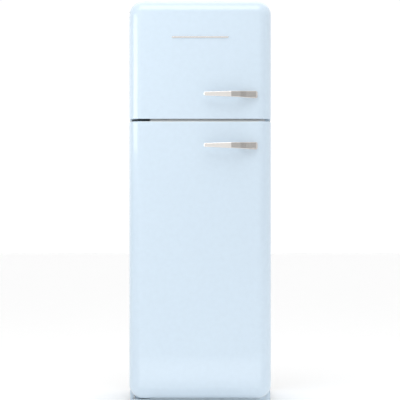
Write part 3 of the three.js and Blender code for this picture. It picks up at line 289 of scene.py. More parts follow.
def galvanised_steel(colours):
    # Hot-dip galvanised sheet: pale grey, with the flat crystals called spangle.
    material, tree, shader, place = new_material("galvanised_steel", {"Metallic": 0.9})
    spangle = add_node(tree, "ShaderNodeTexVoronoi", {"feature": "F1"}, {"Scale": 1 / (9 * MM)},
                       {"Vector": place})
    tone = add_node(tree, "ShaderNodeSeparateColor", links={"Color": spangle.outputs["Color"]})
    blend_colours(tree, shader, tone.outputs["Red"], linear("b0b5b8"), linear("bfc3c5"))
    gloss = add_node(tree, "ShaderNodeMapRange", values={"To Min": 0.38, "To Max": 0.48},
                     links={"Value": tone.outputs["Green"]})
    tree.links.new(gloss.outputs["Result"], shader.inputs["Roughness"])
    return material


def rolled_stainless(colours):
    # Stainless steel strip, cold rolled: bright, with fine lines along its length.
    material, tree, shader, place = new_material("rolled_stainless", {"Metallic": 1.0})
    stretch = add_node(tree, "ShaderNodeMapping", values={"Scale": (8.0, 1500.0, 1500.0)},
                       links={"Vector": place})
    lines = add_node(tree, "ShaderNodeTexNoise", values={"Scale": 1.0, "Detail": 3.0},
                     links={"Vector": stretch.outputs["Vector"]})
    blend_colours(tree, shader, lines.outputs["Fac"], linear("cfd2d4"), linear("e6e8e9"))
    gloss = add_node(tree, "ShaderNodeMapRange", values={"To Min": 0.18, "To Max": 0.3},
                     links={"Value": lines.outputs["Fac"]})
    tree.links.new(gloss.outputs["Result"], shader.inputs["Roughness"])
    return material


def black_enamel(colours):
    # Baked black enamel on wire and pressed steel: satin, thicker in places.
    return surface("baked_black_enamel", linear("202225"), 0.36, 2 * MM, 0.04 * MM, 0.04,
                   **{"Coat Weight": 0.3, "Coat Roughness": 0.2})


def black_nylon(colours):
    # Glass-filled nylon, moulded: nearly black and matt, with a fine grain.
    return surface("moulded_black_nylon", linear("26282b"), 0.6, 0.7 * MM, 0.03 * MM, 0.03)


def drawn_copper(colours):
    # Copper tube, drawn and brazed: warm, and browner where the heat went.
    return surface("drawn_copper", linear("c27e55"), 0.34, 1.5 * MM, 0.02 * MM, 0.03, Metallic=1.0)


def rolled_aluminium(colours):
    # Roll-bonded aluminium plate: pale, with fine lines along the rolling direction.
    material, tree, shader, place = new_material("rolled_aluminium", {"Metallic": 1.0})
    stretch = add_node(tree, "ShaderNodeMapping", values={"Scale": (40.0, 1.0, 900.0)},
                       links={"Vector": place})
    lines = add_node(tree, "ShaderNodeTexNoise", values={"Scale": 1.0},
                     links={"Vector": stretch.outputs["Vector"]})
    blend_colours(tree, shader, lines.outputs["Fac"], linear("b4b8ba"), linear("ced1d2"))
    return material


def polyurethane_foam(colours):
    # Polyurethane foam, poured in place: cream, open to the eye as small cells.
    material, tree, shader, place = new_material("polyurethane_foam", {"Roughness": 0.95})
    cells = add_node(tree, "ShaderNodeTexVoronoi", values={"Scale": 1 / (2 * MM)},
                     links={"Vector": place})
    blend_colours(tree, shader, cells.outputs["Distance"], linear("d8c68a"), linear("efe3b6"))
    bump = add_node(tree, "ShaderNodeBump", values={"Strength": 0.7, "Distance": 0.4 * MM},
                    links={"Height": cells.outputs["Distance"]})
    tree.links.new(bump.outputs["Normal"], shader.inputs["Normal"])
    return material


def toughened_glass(colours):
    # Toughened float glass: clear, with the green of its iron.
    return surface("toughened_glass", linear("d8efe6"), 0.04, 60 * MM, 0.02 * MM, 0.2,
                   **{"Alpha": 0.34, "IOR": 1.52})


def clear_polystyrene(colours):
    # Crystal polystyrene, injection moulded: clear and faintly blue, with slow flow waves.
    return surface("crystal_polystyrene", linear("eef6fa"), 0.1, 25 * MM, 0.1 * MM, 0.05,
                   **{"Alpha": 0.42, "IOR": 1.59})


def opal_polycarbonate(colours):
    # Opal polycarbonate, moulded: lets light through without showing the lamp.
    return surface("opal_polycarbonate", linear("f6f5ef"), 0.35, 4 * MM, 0.05 * MM, 0.04,
                   **{"Transmission Weight": 0.35, "IOR": 1.58})


def lamp_glass(colours):
    # Blown soda glass, frosted inside.
    return surface("frosted_lamp_glass", linear("fbf6e8"), 0.4, 1 * MM, 0.01 * MM, 0.02,
                   **{"Transmission Weight": 0.2})


made_materials = {}


def material_from(maker):
    if maker not in made_materials:
        made_materials[maker] = maker(bpy.context.scene.fridge_colours)
    return made_materials[maker]


# ---- Mesh work -------------------------------------------------------------
def select_only(*objects):
    if bpy.context.mode != "OBJECT":
        bpy.ops.object.mode_set(mode="OBJECT")
    bpy.ops.object.select_all(action="DESELECT")
    for piece in objects:
        piece.select_set(True)
    if objects:
        bpy.context.view_layer.objects.active = objects[0]


def settle(piece):
    """Puts a piece's place, turn and size into its mesh."""
    select_only(piece)
    bpy.ops.object.transform_apply(location=True, rotation=True, scale=True)
    return piece


def named(name):
    """The primitive just added, named and settled."""
    piece = bpy.context.active_object
    piece.name = name
    piece.data.name = name
    return settle(piece)


def add_box(name, near, far):
    """A box between two corners."""
    select_only()
    near, far = Vector(near), Vector(far)
    bpy.ops.mesh.primitive_cube_add(size=1, location=(near + far) / 2, scale=far - near)
    return named(name)


def add_rod(name, start, end, radius, sides=32):
    """A round bar between two points."""
    select_only()
    start, end = Vector(start), Vector(end)
    axis = end - start
    bpy.ops.mesh.primitive_cylinder_add(
        vertices=sides, radius=radius, depth=axis.length, location=(start + end) / 2,
        rotation=axis.to_track_quat("Z", "Y").to_euler(),
    )
    return named(name)


def edit(piece, kind, chosen):
    """Goes into edit mode with the faces, or the edges, that pass the test selected."""
    select_only(piece)
    mesh = piece.data
    bpy.context.tool_settings.mesh_select_mode = (False, kind == "EDGE", kind == "FACE")
    for group in (mesh.vertices, mesh.edges, mesh.polygons):
        group.foreach_set("select", [False] * len(group))
    if kind == "FACE":
        for face in mesh.polygons:
            face.select = chosen(face.center, face.normal)
    else:
        for edge in mesh.edges:
            a, b = (mesh.vertices[i].co for i in edge.vertices)
            edge.select = chosen(a, b)
    bpy.ops.object.mode_set(mode="EDIT")


def edit_all(piece):
    """Goes into edit mode with every face selected."""
    edit(piece, "FACE", lambda centre, normal: True)


def leave_edit():
    bpy.ops.object.mode_set(mode="OBJECT")


def modify(piece, kind, **settings):
    """Adds a modifier and applies it."""
    select_only(piece)
    modifier = piece.modifiers.new(kind.lower(), kind)
    for key, value in settings.items():
        setattr(modifier, key, value)
    bpy.ops.object.modifier_apply(modifier=modifier.name)
    return piece


def round_edges(piece, width, segments=3, angle=35):
    return modify(piece, "BEVEL", width=width, segments=segments, limit_method="ANGLE",
                  angle_limit=radians(angle), miter_outer="MITER_ARC")


def along_y(a, b):
    return abs(a.y - b.y) > SMALL


def bevel_edges(piece, radius, segments, chosen):
    """Rounds just the edges that pass the test."""
    edit(piece, "EDGE", chosen)
    bpy.ops.mesh.bevel(offset=radius, segments=segments, affect="EDGES", clamp_overlap=False)
    leave_edit()
    return piece


def rounded_box(name, near, far, radius, segments=6, chosen=along_y):
    return bevel_edges(add_box(name, near, far), radius, segments, chosen)


def combine(piece, operation, *others):
    """Joins, cuts or keeps the piece by other closed pieces, which are used up."""
    for other in others:
        modify(piece, "BOOLEAN", operation=operation, object=other, solver="EXACT")
        bpy.data.objects.remove(other)
    return piece


def cut(piece, *others):
    return combine(piece, "DIFFERENCE", *others)


def fuse(piece, *others):
    return combine(piece, "UNION", *others)


def gather(name, pieces):
    """Several pieces in one object, each still whole."""
    select_only(*pieces)
    if len(pieces) > 1:
        bpy.ops.object.join()
    whole = bpy.context.active_object
    whole.name = name
    whole.data.name = name
    return whole


def duplicate(piece, name, offset):
    """A copy with a mesh of its own, moved by an offset."""
    select_only(piece)
    bpy.ops.object.duplicate()
    bpy.context.active_object.location = offset
    return named(name)


def refined(node, dissolve=True):
    """A merged copy of a CAD node's mesh, with its flat faces made whole unless told not to."""
    copy = frame["nodes"][node].copy()
    copy.data = copy.data.copy()
    copy.parent = None
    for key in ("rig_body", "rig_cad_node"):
        del copy[key]
    copy.hide_render = False
    copy.hide_viewport = False
    copy.name = node + "_finished"
    copy.data.name = copy.name
    bpy.context.scene.collection.objects.link(copy)
    copy.data.materials.clear()
    edit_all(copy)
    bpy.ops.mesh.remove_doubles(threshold=0.02 * MM)
    if dissolve:
        bpy.ops.mesh.dissolve_limited(angle_limit=radians(0.5))
    leave_edit()
    return copy


def finish(piece, maker, body, slot, *nodes, angle=35):
    """Smooths and paints a piece, lets it ride on its body, and hides the CAD nodes that it stands in
    for.
    """
    select_only(piece)
    bpy.ops.object.shade_smooth_by_angle(angle=radians(angle))
    modify(piece, "WEIGHTED_NORMAL", keep_sharp=True)
    piece.data.materials.clear()
    piece.data.materials.append(material_from(maker))
    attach(piece, body)
    if nodes:
        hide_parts(*nodes)
    return piece


def soften(node, maker, slot, width=0, segments=2, angle=35):
    """A CAD node's own shape with its edges rounded, on the node's own body."""
    piece = refined(node)
    if width:
        round_edges(piece, width, segments)
    return finish(piece, maker, frame["nodes"][node]["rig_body"], slot, node, angle=angle)


def smooth_tube(node, maker, slot):
    """A CAD node's bent tube, with its flats turned into a round wall."""
    tube = refined(node, dissolve=False)
    edit_all(tube)
    bpy.ops.mesh.tris_convert_to_quads()
    leave_edit()
    modify(tube, "SUBSURF", levels=2)
    finish(tube, maker, "cabinet", slot, node, angle=60)


def paint_node(node, maker):
    """A CAD node that stays as it is gets its finish through its slots."""
    materials = frame["nodes"][node].data.materials
    if not materials:
        materials.append(material_from(maker))
    for index in range(len(materials)):
        materials[index] = material_from(maker)


# ---- Operators -------------------------------------------------------------
class FRIDGE_OT_stage(bpy.types.Operator):
    """Camera, pale floor and soft studio light"""
    bl_idname = "fridge.stage"
    bl_label = "Stage"

    def execute(self, context):
        scene = context.scene
        select_only()
        bpy.ops.object.camera_add(
            location=(CAMERA_SIDE, DOOR_FRONT - CAMERA_DISTANCE, CAMERA_HEIGHT),
            rotation=(pi / 2, 0, 0),
        )
        camera = context.active_object
        camera.data.sensor_width = SENSOR_WIDTH
        camera.data.lens = SENSOR_WIDTH * CAMERA_DISTANCE / VIEW_WIDTH
        scene.camera = camera

        bpy.ops.mesh.primitive_plane_add(size=FLOOR_SIZE)
        floor = named("studio_floor")
        material, tree, shader, place = new_material("studio_floor_paint", {"Roughness": 0.6})
        speckle = add_node(tree, "ShaderNodeTexNoise", values={"Scale": 3.0},
                           links={"Vector": place})
        white = scene.fridge_colours.floor
        blend_colours(tree, shader, speckle.outputs["Fac"], white, shaded(white, 0.99))
        floor.data.materials.append(material)

        for light in LIGHTS:
            self.add_light(*light)
        self.set_world(scene)
        scene.view_settings.view_transform = "Standard"
        return {"FINISHED"}

    def add_light(self, name, place, target, width, height, power):
        aim = Vector(target) - Vector(place)
        bpy.ops.object.light_add(type="AREA", location=place,
                                 rotation=aim.to_track_quat("-Z", "Y").to_euler())
        light = bpy.context.active_object
        light.name = name
        light.data.shape = "RECTANGLE"
        light.data.size = width
        light.data.size_y = height
        light.data.energy = power
        light.visible_camera = False

    def ramp(self, tree, factor, stops):
        """Grey levels along a factor, with their first stop at 0 and their last at 1."""
        made = add_node(tree, "ShaderNodeValToRGB", links={"Fac": factor})
        elements = made.color_ramp.elements
        greys = [(level, level, level, 1) for position, level in stops]
        elements[0].color, elements[1].color = greys[0], greys[-1]
        for (position, level), grey in list(zip(stops, greys))[1:-1]:
            elements.new(position).color = grey
        return made.outputs["Color"]

    def set_world(self, scene):
        """White to the eye. It lights from behind, and in front it has cards and a dark flag."""
        world = bpy.data.worlds.new("studio")
        world.use_nodes = True
        tree = world.node_tree
        direction = add_node(tree, "ShaderNodeTexCoord").outputs["Generated"]
        axes = add_node(tree, "ShaderNodeSeparateXYZ", links={"Vector": direction})
        smooth = {"interpolation_type": "SMOOTHSTEP"}
        across = add_node(tree, "ShaderNodeMapRange", values={"From Min": -1.0, "From Max": 1.0},
                          links={"Value": axes.outputs["X"]}).outputs["Result"]
        sky = self.ramp(tree, across, SKY_LEVELS)
        cards = self.ramp(tree, across, CARD_LEVELS)
        rise = add_node(tree, "ShaderNodeMath", {"operation": "ABSOLUTE"},
                        links={0: axes.outputs["Z"]})
        above = add_node(tree, "ShaderNodeMapRange", smooth, {"From Min": 0.12, "From Max": 0.3},
                         {"Value": rise.outputs["Value"]})
        front = add_node(tree, "ShaderNodeMix", {"data_type": "FLOAT"},
                         links={"Factor": above.outputs["Result"], "A": cards, "B": sky})
        rear = add_node(tree, "ShaderNodeMapRange", smooth, {"From Min": 0.1, "From Max": 0.8},
                        {"Value": axes.outputs["Y"]})
        back = add_node(tree, "ShaderNodeMapRange", smooth,
                        {"From Min": 0.3, "From Max": 0.9, "To Min": WHITE_LEVEL, "To Max": 1.4},
                        {"Value": axes.outputs["Z"]})
        level = add_node(tree, "ShaderNodeMix", {"data_type": "FLOAT"}, links={
            "Factor": rear.outputs["Result"], "A": front.outputs["Result"],
            "B": back.outputs["Result"],
        })
        zenith = add_node(tree, "ShaderNodeMapRange", smooth,
                          {"From Min": 0.35, "From Max": 0.95, "To Min": 0.0, "To Max": 0.4},
                          {"Value": axes.outputs["Z"]})
        strength = add_node(tree, "ShaderNodeMath", {"operation": "ADD"}, links={
            0: level.outputs["Result"], 1: zenith.outputs["Result"],
        })
        seen = add_node(tree, "ShaderNodeLightPath").outputs["Is Camera Ray"]
        shown = add_node(tree, "ShaderNodeMix", {"data_type": "FLOAT"}, {"B": WHITE_LEVEL},
                         {"Factor": seen, "A": strength.outputs["Value"]})
        background = tree.nodes["Background"]
        background.inputs["Color"].default_value = (1, 1, 1, 1)
        tree.links.new(shown.outputs["Result"], background.inputs["Strength"])
        scene.world = world


def slot_cutter():
    """The slot at the upper door's hinge side that the top bracket's neck turns in."""
    near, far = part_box("top_hinge_bracket")
    past = 5 * MM
    return add_box(
        "slot", (-HALF_WIDTH - past, near.y - SLOT_FRONT, near.z - SLOT_PLAY),
        (far.x + SLOT_SIDE, DOOR_REAR + past, far.z + SLOT_PLAY),
    )


class FRIDGE_OT_door_skins(bpy.types.Operator):
    """Pressed steel fronts of both doors, rolled all round and cut at the gap"""
    bl_idname = "fridge.door_skins"
    bl_label = "Door skins"

    def execute(self, context):
        shape = context.scene.fridge_shape
        block = self.pillow(shape)
        lower = duplicate(block, "fridge_door_shell", (0, 0, 0))
        upper = duplicate(block, "freezer_door_shell", (0, 0, 0))
        bpy.data.objects.remove(block)
        self.trim(shape, lower, GAP_BOTTOM, 1, shape.lower_gap_radius)
        self.trim(shape, upper, GAP_TOP, -1, shape.upper_gap_radius)
        self.pin_hole(lower, GAP_BOTTOM)
        self.pin_hole(lower, DOOR_BOTTOM)
        finish(lower, enamelled_steel, "fridge_door", "body_paint", "fridge_door_skin")
        cut(upper, slot_cutter())
        self.pin_hole(upper, GAP_TOP)
        finish(upper, enamelled_steel, "freezer_door", "body_paint", "freezer_door_skin")
        self.slot_lining()
        return {"FINISHED"}

    def slot_lining(self):
        """The moulded channel that lines the hinge slot, open to the side and the rear."""
        near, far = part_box("top_hinge_bracket")
        wall, inset, slack = 0.5 * MM, 3 * MM, 0.1 * MM
        front, right = near.y - SLOT_FRONT + slack, far.x + SLOT_SIDE - slack
        bottom, top = near.z - SLOT_PLAY + slack / 2, far.z + SLOT_PLAY - slack / 2
        lining = add_box("hinge_slot_lining", (inset - HALF_WIDTH, front, bottom),
                         (right, DOOR_REAR - 2 * slack, top))
        cut(lining, add_box("inside", (-HALF_WIDTH, front + wall, bottom + wall),
                            (right - wall, DOOR_REAR + 1 * MM, top - wall)))
        finish(lining, black_nylon, "freezer_door", "black_plastic")

    def pillow(self, shape):
        """Both doors as one block, with its corners and its front edge rolled."""
        block = add_box("pillow", (-HALF_WIDTH, DOOR_FRONT, DOOR_BOTTOM),
                        (HALF_WIDTH, DOOR_REAR, TOP))
        bevel_edges(block, shape.corner_radius, 18, along_y)
        bevel_edges(block, shape.pillow_radius, 18,
                    lambda a, b: max(a.y, b.y) < DOOR_FRONT + SMALL)
        edit(block, "FACE", lambda centre, normal: normal.y < -0.9999)
        bpy.ops.mesh.inset(thickness=3 * MM)
        leave_edit()
        return block

    def trim(self, shape, door, height, side, radius):
        """Cuts a door at the gap, rounds the cut edge, opens the back and gives the skin its wall."""
        edit_all(door)
        bpy.ops.mesh.bisect(plane_co=(0, 0, height), plane_no=(0, 0, side), use_fill=True,
                            clear_outer=True)
        leave_edit()
        edit(door, "EDGE", lambda a, b: abs(a.z - height) < SMALL and abs(b.z - height) < SMALL
             and min(a.y, b.y) < DOOR_REAR - SMALL)
        bpy.ops.mesh.bevel(offset=radius, segments=6, affect="EDGES")
        leave_edit()
        edit(door, "FACE", lambda centre, normal: normal.y > 0.99)
        bpy.ops.mesh.delete(type="FACE")
        leave_edit()
        modify(door, "SOLIDIFY", thickness=shape.skin, offset=-1, use_even_offset=True)

    def pin_hole(self, door, height):
        """The hole in a door's end that a hinge pin goes into."""
        near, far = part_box("middle_hinge_pin")
        middle = (near + far) / 2
        play, reach = 0.4 * MM, Vector((0, 0, 6 * MM))
        place = Vector((middle.x, middle.y, height))
        cut(door, add_rod("hole", place - reach, place + reach, (far.x - near.x) / 2 + play, 24))


class FRIDGE_OT_cabinet(bpy.types.Operator):
    """Steel wrapper, front rails and back of the cabinet"""
    bl_idname = "fridge.cabinet"
    bl_label = "Cabinet"

    def execute(self, context):
        shape = context.scene.fridge_shape
        near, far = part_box("cabinet_wrapper")
        below = near - Vector((0, 0, shape.flange))
        shell = add_box("cabinet_shell", below, far)
        bevel_edges(shell, shape.corner_radius - (HALF_WIDTH - CABINET_HALF), 18,
                    lambda a, b: along_y(a, b) and a.z > far.z - SMALL)
        edit(shell, "FACE", lambda centre, normal: normal.y < -0.99)
        bpy.ops.mesh.inset(thickness=shape.flange)
        leave_edit()
        opening_top = far.z - shape.flange - SMALL
        edit(shell, "FACE", lambda centre, normal: normal.z < -0.99 or normal.y > 0.99 or (
            normal.y < -0.99 and abs(centre.x) < near.x * -0.5 and centre.z < opening_top))
        bpy.ops.mesh.delete(type="FACE")
        leave_edit()
        edit_all(shell)
        bpy.ops.mesh.bisect(plane_co=near, plane_no=(0, 0, -1), clear_outer=True)
        leave_edit()
        modify(shell, "SOLIDIFY", thickness=shape.sheet, offset=-1, use_even_offset=True)
        finish(shell, enamelled_steel, "cabinet", "body_paint", "cabinet_wrapper")

        soften("plinth_panel", enamelled_steel, "body_paint", 0.5 * MM)
        soften("mullion_strip", rolled_stainless, "zinc_steel", 0.5 * MM)
        soften("base_pan", galvanised_steel, "zinc_steel", 0.3 * MM)
        self.back_panel()
        for node in ("cabinet_foam", "freezer_door_foam", "fridge_door_foam"):
            paint_node(node, polyurethane_foam)
        paint_node("freezer_evaporator", rolled_aluminium)
        return {"FINISHED"}

    def back_panel(self):
        """The back sheet, with three pressed beads that stiffen it and a row of rivets each side."""
        panel = refined("rear_panel")
        far = high("rear_panel")
        half, sink, rise = 6 * MM, 0.4 * MM, 2 * MM
        bottom, top = 330 * MM, far.z - 80 * MM
        for share in (-0.62, 0.0, 0.62):
            x = share * far.x
            fuse(panel, rounded_box(
                "bead", (x - half, far.y - sink, bottom), (x + half, far.y + rise, top), 1.8 * MM, 4,
                lambda a, b: min(a.y, b.y) > far.y + rise - 0.1 * MM,
            ))
        finish(panel, galvanised_steel, "cabinet", "zinc_steel", "rear_panel")
        heads = []
        inset, lowest, pitch, radius, proud = 10 * MM, 340 * MM, 200 * MM, 3.5 * MM, 1.5 * MM
        for side in (-1, 1):
            for step in range(7):
                x, z = side * (far.x - inset), lowest + step * pitch
                head = add_rod("rivet", (x, far.y, z), (x, far.y + proud, z), radius, 20)
                heads.append(bevel_edges(head, 1 * MM, 3,
                                         lambda a, b: min(a.y, b.y) > far.y + proud - 0.1 * MM))
        finish(gather("rear_rivets", heads), galvanised_steel, "cabinet", "zinc_steel")


class FRIDGE_OT_liners(bpy.types.Operator):
    """Vacuum-formed liners of both compartments, with their flanges and shelf ledges"""
    bl_idname = "fridge.liners"
    bl_label = "Liners"

    TOP_RADIUS = 25 * MM
    BOTTOM_RADIUS = 6 * MM
    BACK_RADIUS = 5 * MM
    MOUTH_RADIUS = 4 * MM
    STEP_FRONT = 110 * MM
    STEP_TOP = 322 * MM
    STEP_RADIUS = 12 * MM

    def execute(self, context):
        self.form("fridge_liner", FRIDGE_ROOM, FRIDGE_LEVELS, 1 * MM, True)
        self.form("freezer_liner", FREEZER_ROOM, ("freezer_shelf",), 35 * MM, False)
        return {"FINISHED"}

    def room(self, name, size, grow, stepped):
        """A room's shape, grown by a wall, with the step that the compressor stands under."""
        (left, bottom), (right, top), back = size
        # The grown one starts inside the flange's thickness, and the other cuts through it.
        front = CABINET_FRONT + (1 * MM if grow else -5 * MM)
        made = add_box(name, (left - grow, front, bottom - grow),
                       (right + grow, back + grow, top + grow))
        middle = (bottom + top) / 2
        bevel_edges(made, self.TOP_RADIUS + grow, 8, lambda a, b: along_y(a, b) and a.z > middle)
        bevel_edges(made, self.BOTTOM_RADIUS + grow, 4, lambda a, b: along_y(a, b) and a.z < middle)
        bevel_edges(made, self.BACK_RADIUS + grow, 4,
                    lambda a, b: min(a.y, b.y) > back + grow - SMALL)
        if stepped:
            step_front, step_top = self.STEP_FRONT + grow, self.STEP_TOP - grow
            cut(made, rounded_box(
                "step", (-HALF_WIDTH, step_front, 0), (HALF_WIDTH, back + 100 * MM, step_top),
                self.STEP_RADIUS - grow, 5,
                lambda a, b: not along_y(a, b) and a.y < back and min(a.z, b.z) > step_top - SMALL,
            ))
        return made

    def form(self, node, size, levels, corner, stepped):
        """One liner: its flange, its room, the rounded mouth between them, and its ledges."""
        (left, bottom), (right, top), back = size
        near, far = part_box(node)
        flange = rounded_box(
            node + "_formed", near, (far.x, near.y + ROOM_WALL, far.z), corner, 6,
            lambda a, b: along_y(a, b) and a.z > far.z - SMALL,
        )
        fuse(flange, self.room("shell", size, ROOM_WALL, stepped))
        cut(flange, self.room("space", size, 0, stepped))
        bevel_edges(flange, self.MOUTH_RADIUS, 4, lambda a, b: max(a.y, b.y) < near.y + SMALL
                    and max(abs(a.x), abs(b.x)) < right + SMALL
                    and bottom - SMALL < min(a.z, b.z) and max(a.z, b.z) < top + SMALL)
        for level in levels:
            shelf_low, shelf_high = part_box(level)
            for side in (-1, 1):
                x = sorted((side * (right - LEDGE), side * (right + LEDGE_SINK)))
                fuse(flange, round_edges(add_box(
                    "ledge", (x[0], shelf_low.y, shelf_low.z - TOUCH - LEDGE_HEIGHT),
                    (x[1], shelf_high.y, shelf_low.z - TOUCH),
                ), 1.5 * MM, 3))
        finish(flange, formed_polystyrene, "cabinet", "liner", node)


class FRIDGE_OT_door_liners(bpy.types.Operator):
    """Formed backs of both doors, each with a hollow raised frame, and their gaskets"""
    bl_idname = "fridge.door_liners"
    bl_label = "Door liners"

    def execute(self, context):
        self.form("fridge_door_liner", FRIDGE_DYKE, 0,
                  ("bottle_balcony", "middle_balcony", "dairy_box"), False)
        self.form("freezer_door_liner", FREEZER_DYKE, 1, ("freezer_door_balcony",), True)
        for node in ("fridge_door_gasket", "freezer_door_gasket"):
            soften(node, pvc_gasket, "seal", 3 * MM, 4)
        return {"FINISHED"}

    def ring(self, name, dyke, wall, front, rear, radius, edge):
        """A raised frame: its corners have one radius, and its rear edges another."""
        half, bottom, top = dyke
        outer = rounded_box(name, (-half, front, bottom), (half, rear, top), radius)
        bevel_edges(outer, edge, 5, lambda a, b: min(a.y, b.y) > rear - SMALL)
        hole, low_end, high_end = half - wall, bottom + wall, top - wall
        cut(outer, rounded_box("inner", (-hole, front - 5 * MM, low_end),
                               (hole, rear + 5 * MM, high_end), radius / 2))
        return bevel_edges(outer, edge, 5, lambda a, b: min(a.y, b.y) > rear - SMALL
                           and max(abs(a.x), abs(b.x)) < hole + SMALL
                           and low_end - SMALL < min(a.z, b.z)
                           and max(a.z, b.z) < high_end + SMALL)

    def form(self, node, dyke, rounded_end, balconies, slotted):
        """One liner: a plate that is rounded at its outer end, a hollow frame, and its ledges."""
        half, bottom, top = dyke
        near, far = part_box(node)
        front, rear = near.y, far.y
        ends = (near.z, far.z)
        plate = rounded_box(
            node + "_formed", near, (far.x, front + ROOM_WALL, far.z), 58.5 * MM, 12,
            lambda a, b: along_y(a, b) and abs(a.z - ends[rounded_end]) < SMALL,
        )
        corner, edge = 20 * MM, 8 * MM
        fuse(plate, self.ring("raised", dyke, DYKE_WIDTH, front + 0.5 * MM, rear, corner, edge))
        cut(plate, self.ring(
            "inside", (half - ROOM_WALL, bottom + ROOM_WALL, top - ROOM_WALL),
            DYKE_WIDTH - 2 * ROOM_WALL, front - 5 * MM, rear - ROOM_WALL,
            corner - ROOM_WALL, edge - ROOM_WALL,
        ))
        for balcony in balconies:
            height = low(balcony).z - TOUCH
            for side in (-1, 1):
                x = sorted(side * (half - DYKE_WIDTH + reach) for reach in (-LEDGE, LEDGE_SINK))
                fuse(plate, round_edges(add_box(
                    "ledge", (x[0], front + 1 * MM, height - LEDGE_HEIGHT),
                    (x[1], rear - LEDGE, height),
                ), 1.5 * MM, 3))
        if slotted:
            cut(plate, slot_cutter())
        finish(plate, formed_polystyrene, frame["nodes"][node]["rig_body"], "liner", node)


class FRIDGE_OT_handles(bpy.types.Operator):
    """Cast lever handles with a long finger grip, and the plain badge bar"""
    bl_idname = "fridge.handles"
    bl_label = "Handles and badge"

    # Millimetres: along from the tip, front reach, back reach, height above, depth below.
    SECTIONS = (
        (0, 32.2, 27.1, 7, 7), (1.6, 33.4, 27.2, 8.3, 8.3), (114, 48, 36, 10.8, 13.8),
        (142, 43, 28, 11.4, 15.2), (153, 41, 19.4, 11.6, 15.7), (165, 34, 10, 11.9, 16.3),
        (170, 31.1, 0.4, 12, 16.5), (177, 27, 0.4, 12.1, 16.9), (220, 15, 0.4, 13, 19),
        (225, 10, 0.4, 9, 15),
    )
    HIGHEST = 13 * MM
    EDGE_RADIUS = 2.4 * MM

    def execute(self, context):
        for door in ("fridge_door", "freezer_door"):
            node = door + "_handle"
            lever = self.lever(node + "_lever", low(node).x, high(node).z - self.HIGHEST)
            finish(lever, chromed_zinc, door, "chrome", node, angle=13)
        soften("badge_bar", chromed_zinc, "chrome", 1.2 * MM, 4)
        return {"FINISHED"}

    def lever(self, name, tip, height):
        """A bar drawn out from its tip, section by section, with a groove in its root."""
        places = [(
            tip + x * MM, DOOR_FRONT - reach * MM, DOOR_FRONT - back * MM,
            height - down * MM, height + up * MM,
        ) for x, reach, back, up, down in self.SECTIONS]
        x, front, back, bottom, top = places[0]
        bar = add_box(name, (x, front, bottom), (places[1][0], back, top))
        edit(bar, "FACE", lambda centre, normal: normal.x > 0.9)
        for before, after in zip(places, places[1:]):
            if before is not places[0]:
                bpy.ops.mesh.extrude_region_move(
                    TRANSFORM_OT_translate={"value": (after[0] - before[0], 0, 0)})
            self.reshape_end(before, after)
        leave_edit()
        bevel_edges(bar, self.EDGE_RADIUS, 6, lambda a, b: abs(a.x - b.x) > 1 * MM)
        end = places[-1][0]
        groove = add_box("groove", (end - 23 * MM, DOOR_FRONT - 20 * MM, height - 14.5 * MM),
                         (end + 1 * MM, DOOR_FRONT - 2 * MM, height - 12.5 * MM))
        return cut(bar, groove)

    def reshape_end(self, before, after):
        """Gives the selected end, which has one section's outline, that of the next."""
        old_front, old_back, old_bottom, old_top = before[1:]
        x, front, back, bottom, top = after
        centre = (x, (old_front + old_back) / 2, (old_bottom + old_top) / 2)
        bpy.ops.transform.resize(
            value=(1, (back - front) / (old_back - old_front),
                   (top - bottom) / (old_top - old_bottom)),
            center_override=centre,
        )
        bpy.ops.transform.translate(
            value=(0, (front + back) / 2 - centre[1], (bottom + top) / 2 - centre[2]))


class FRIDGE_OT_hinges(bpy.types.Operator):
    """Hinge brackets, pins and screws"""
    bl_idname = "fridge.hinges"
    bl_label = "Hinges"

    def execute(self, context):
        for place in ("top", "middle"):
            soften(place + "_hinge_bracket", phosphated_steel, "dark_steel", 0.8 * MM, 3)
        soften("bottom_hinge_bracket", enamelled_steel, "body_paint", 0.8 * MM, 3)
        for place in ("top", "middle", "bottom"):
            soften(place + "_hinge_pin", galvanised_steel, "zinc_steel", 0.6 * MM, 3)
        bracket_plate = 3 * MM
        face = CABINET_FRONT - TOUCH - bracket_plate
        middle, rise = (GAP_TOP + GAP_BOTTOM) / 2, 5.8 * MM
        big = context.scene.fridge_shape.screw / 2
        small = big * 0.6
        low_row = high("bottom_hinge_bracket").z - 10 * MM
        places = [(x, low_row, big) for x in (-252 * MM, -228 * MM)]
        for z in (middle + rise, middle - rise):
            places += [(x, z, small) for x in (-248 * MM, -223 * MM)]
        screws = [self.screw(x, face, z, radius) for x, z, radius in places]
        finish(gather("hinge_screws", screws), galvanised_steel, "cabinet", "zinc_steel")
        return {"FINISHED"}

    def screw(self, x, face, z, radius):
        """A round head with a cross recess, on a face that looks forward."""
        proud = 2 * MM
        head = add_rod("screw", (x, face, z), (x, face - proud, z), radius, 24)
        bevel_edges(head, 0.9 * MM, 3, lambda a, b: max(a.y, b.y) < face - proud + 0.1 * MM)
        slot_long, slot_wide = radius * 0.6, 0.5 * MM
        for wide, tall in ((slot_long, slot_wide), (slot_wide, slot_long)):
            cut(head, add_box("cross", (x - wide, face - 3 * MM, z - tall),
                              (x + wide, face - 1 * MM, z + tall)))
        return head


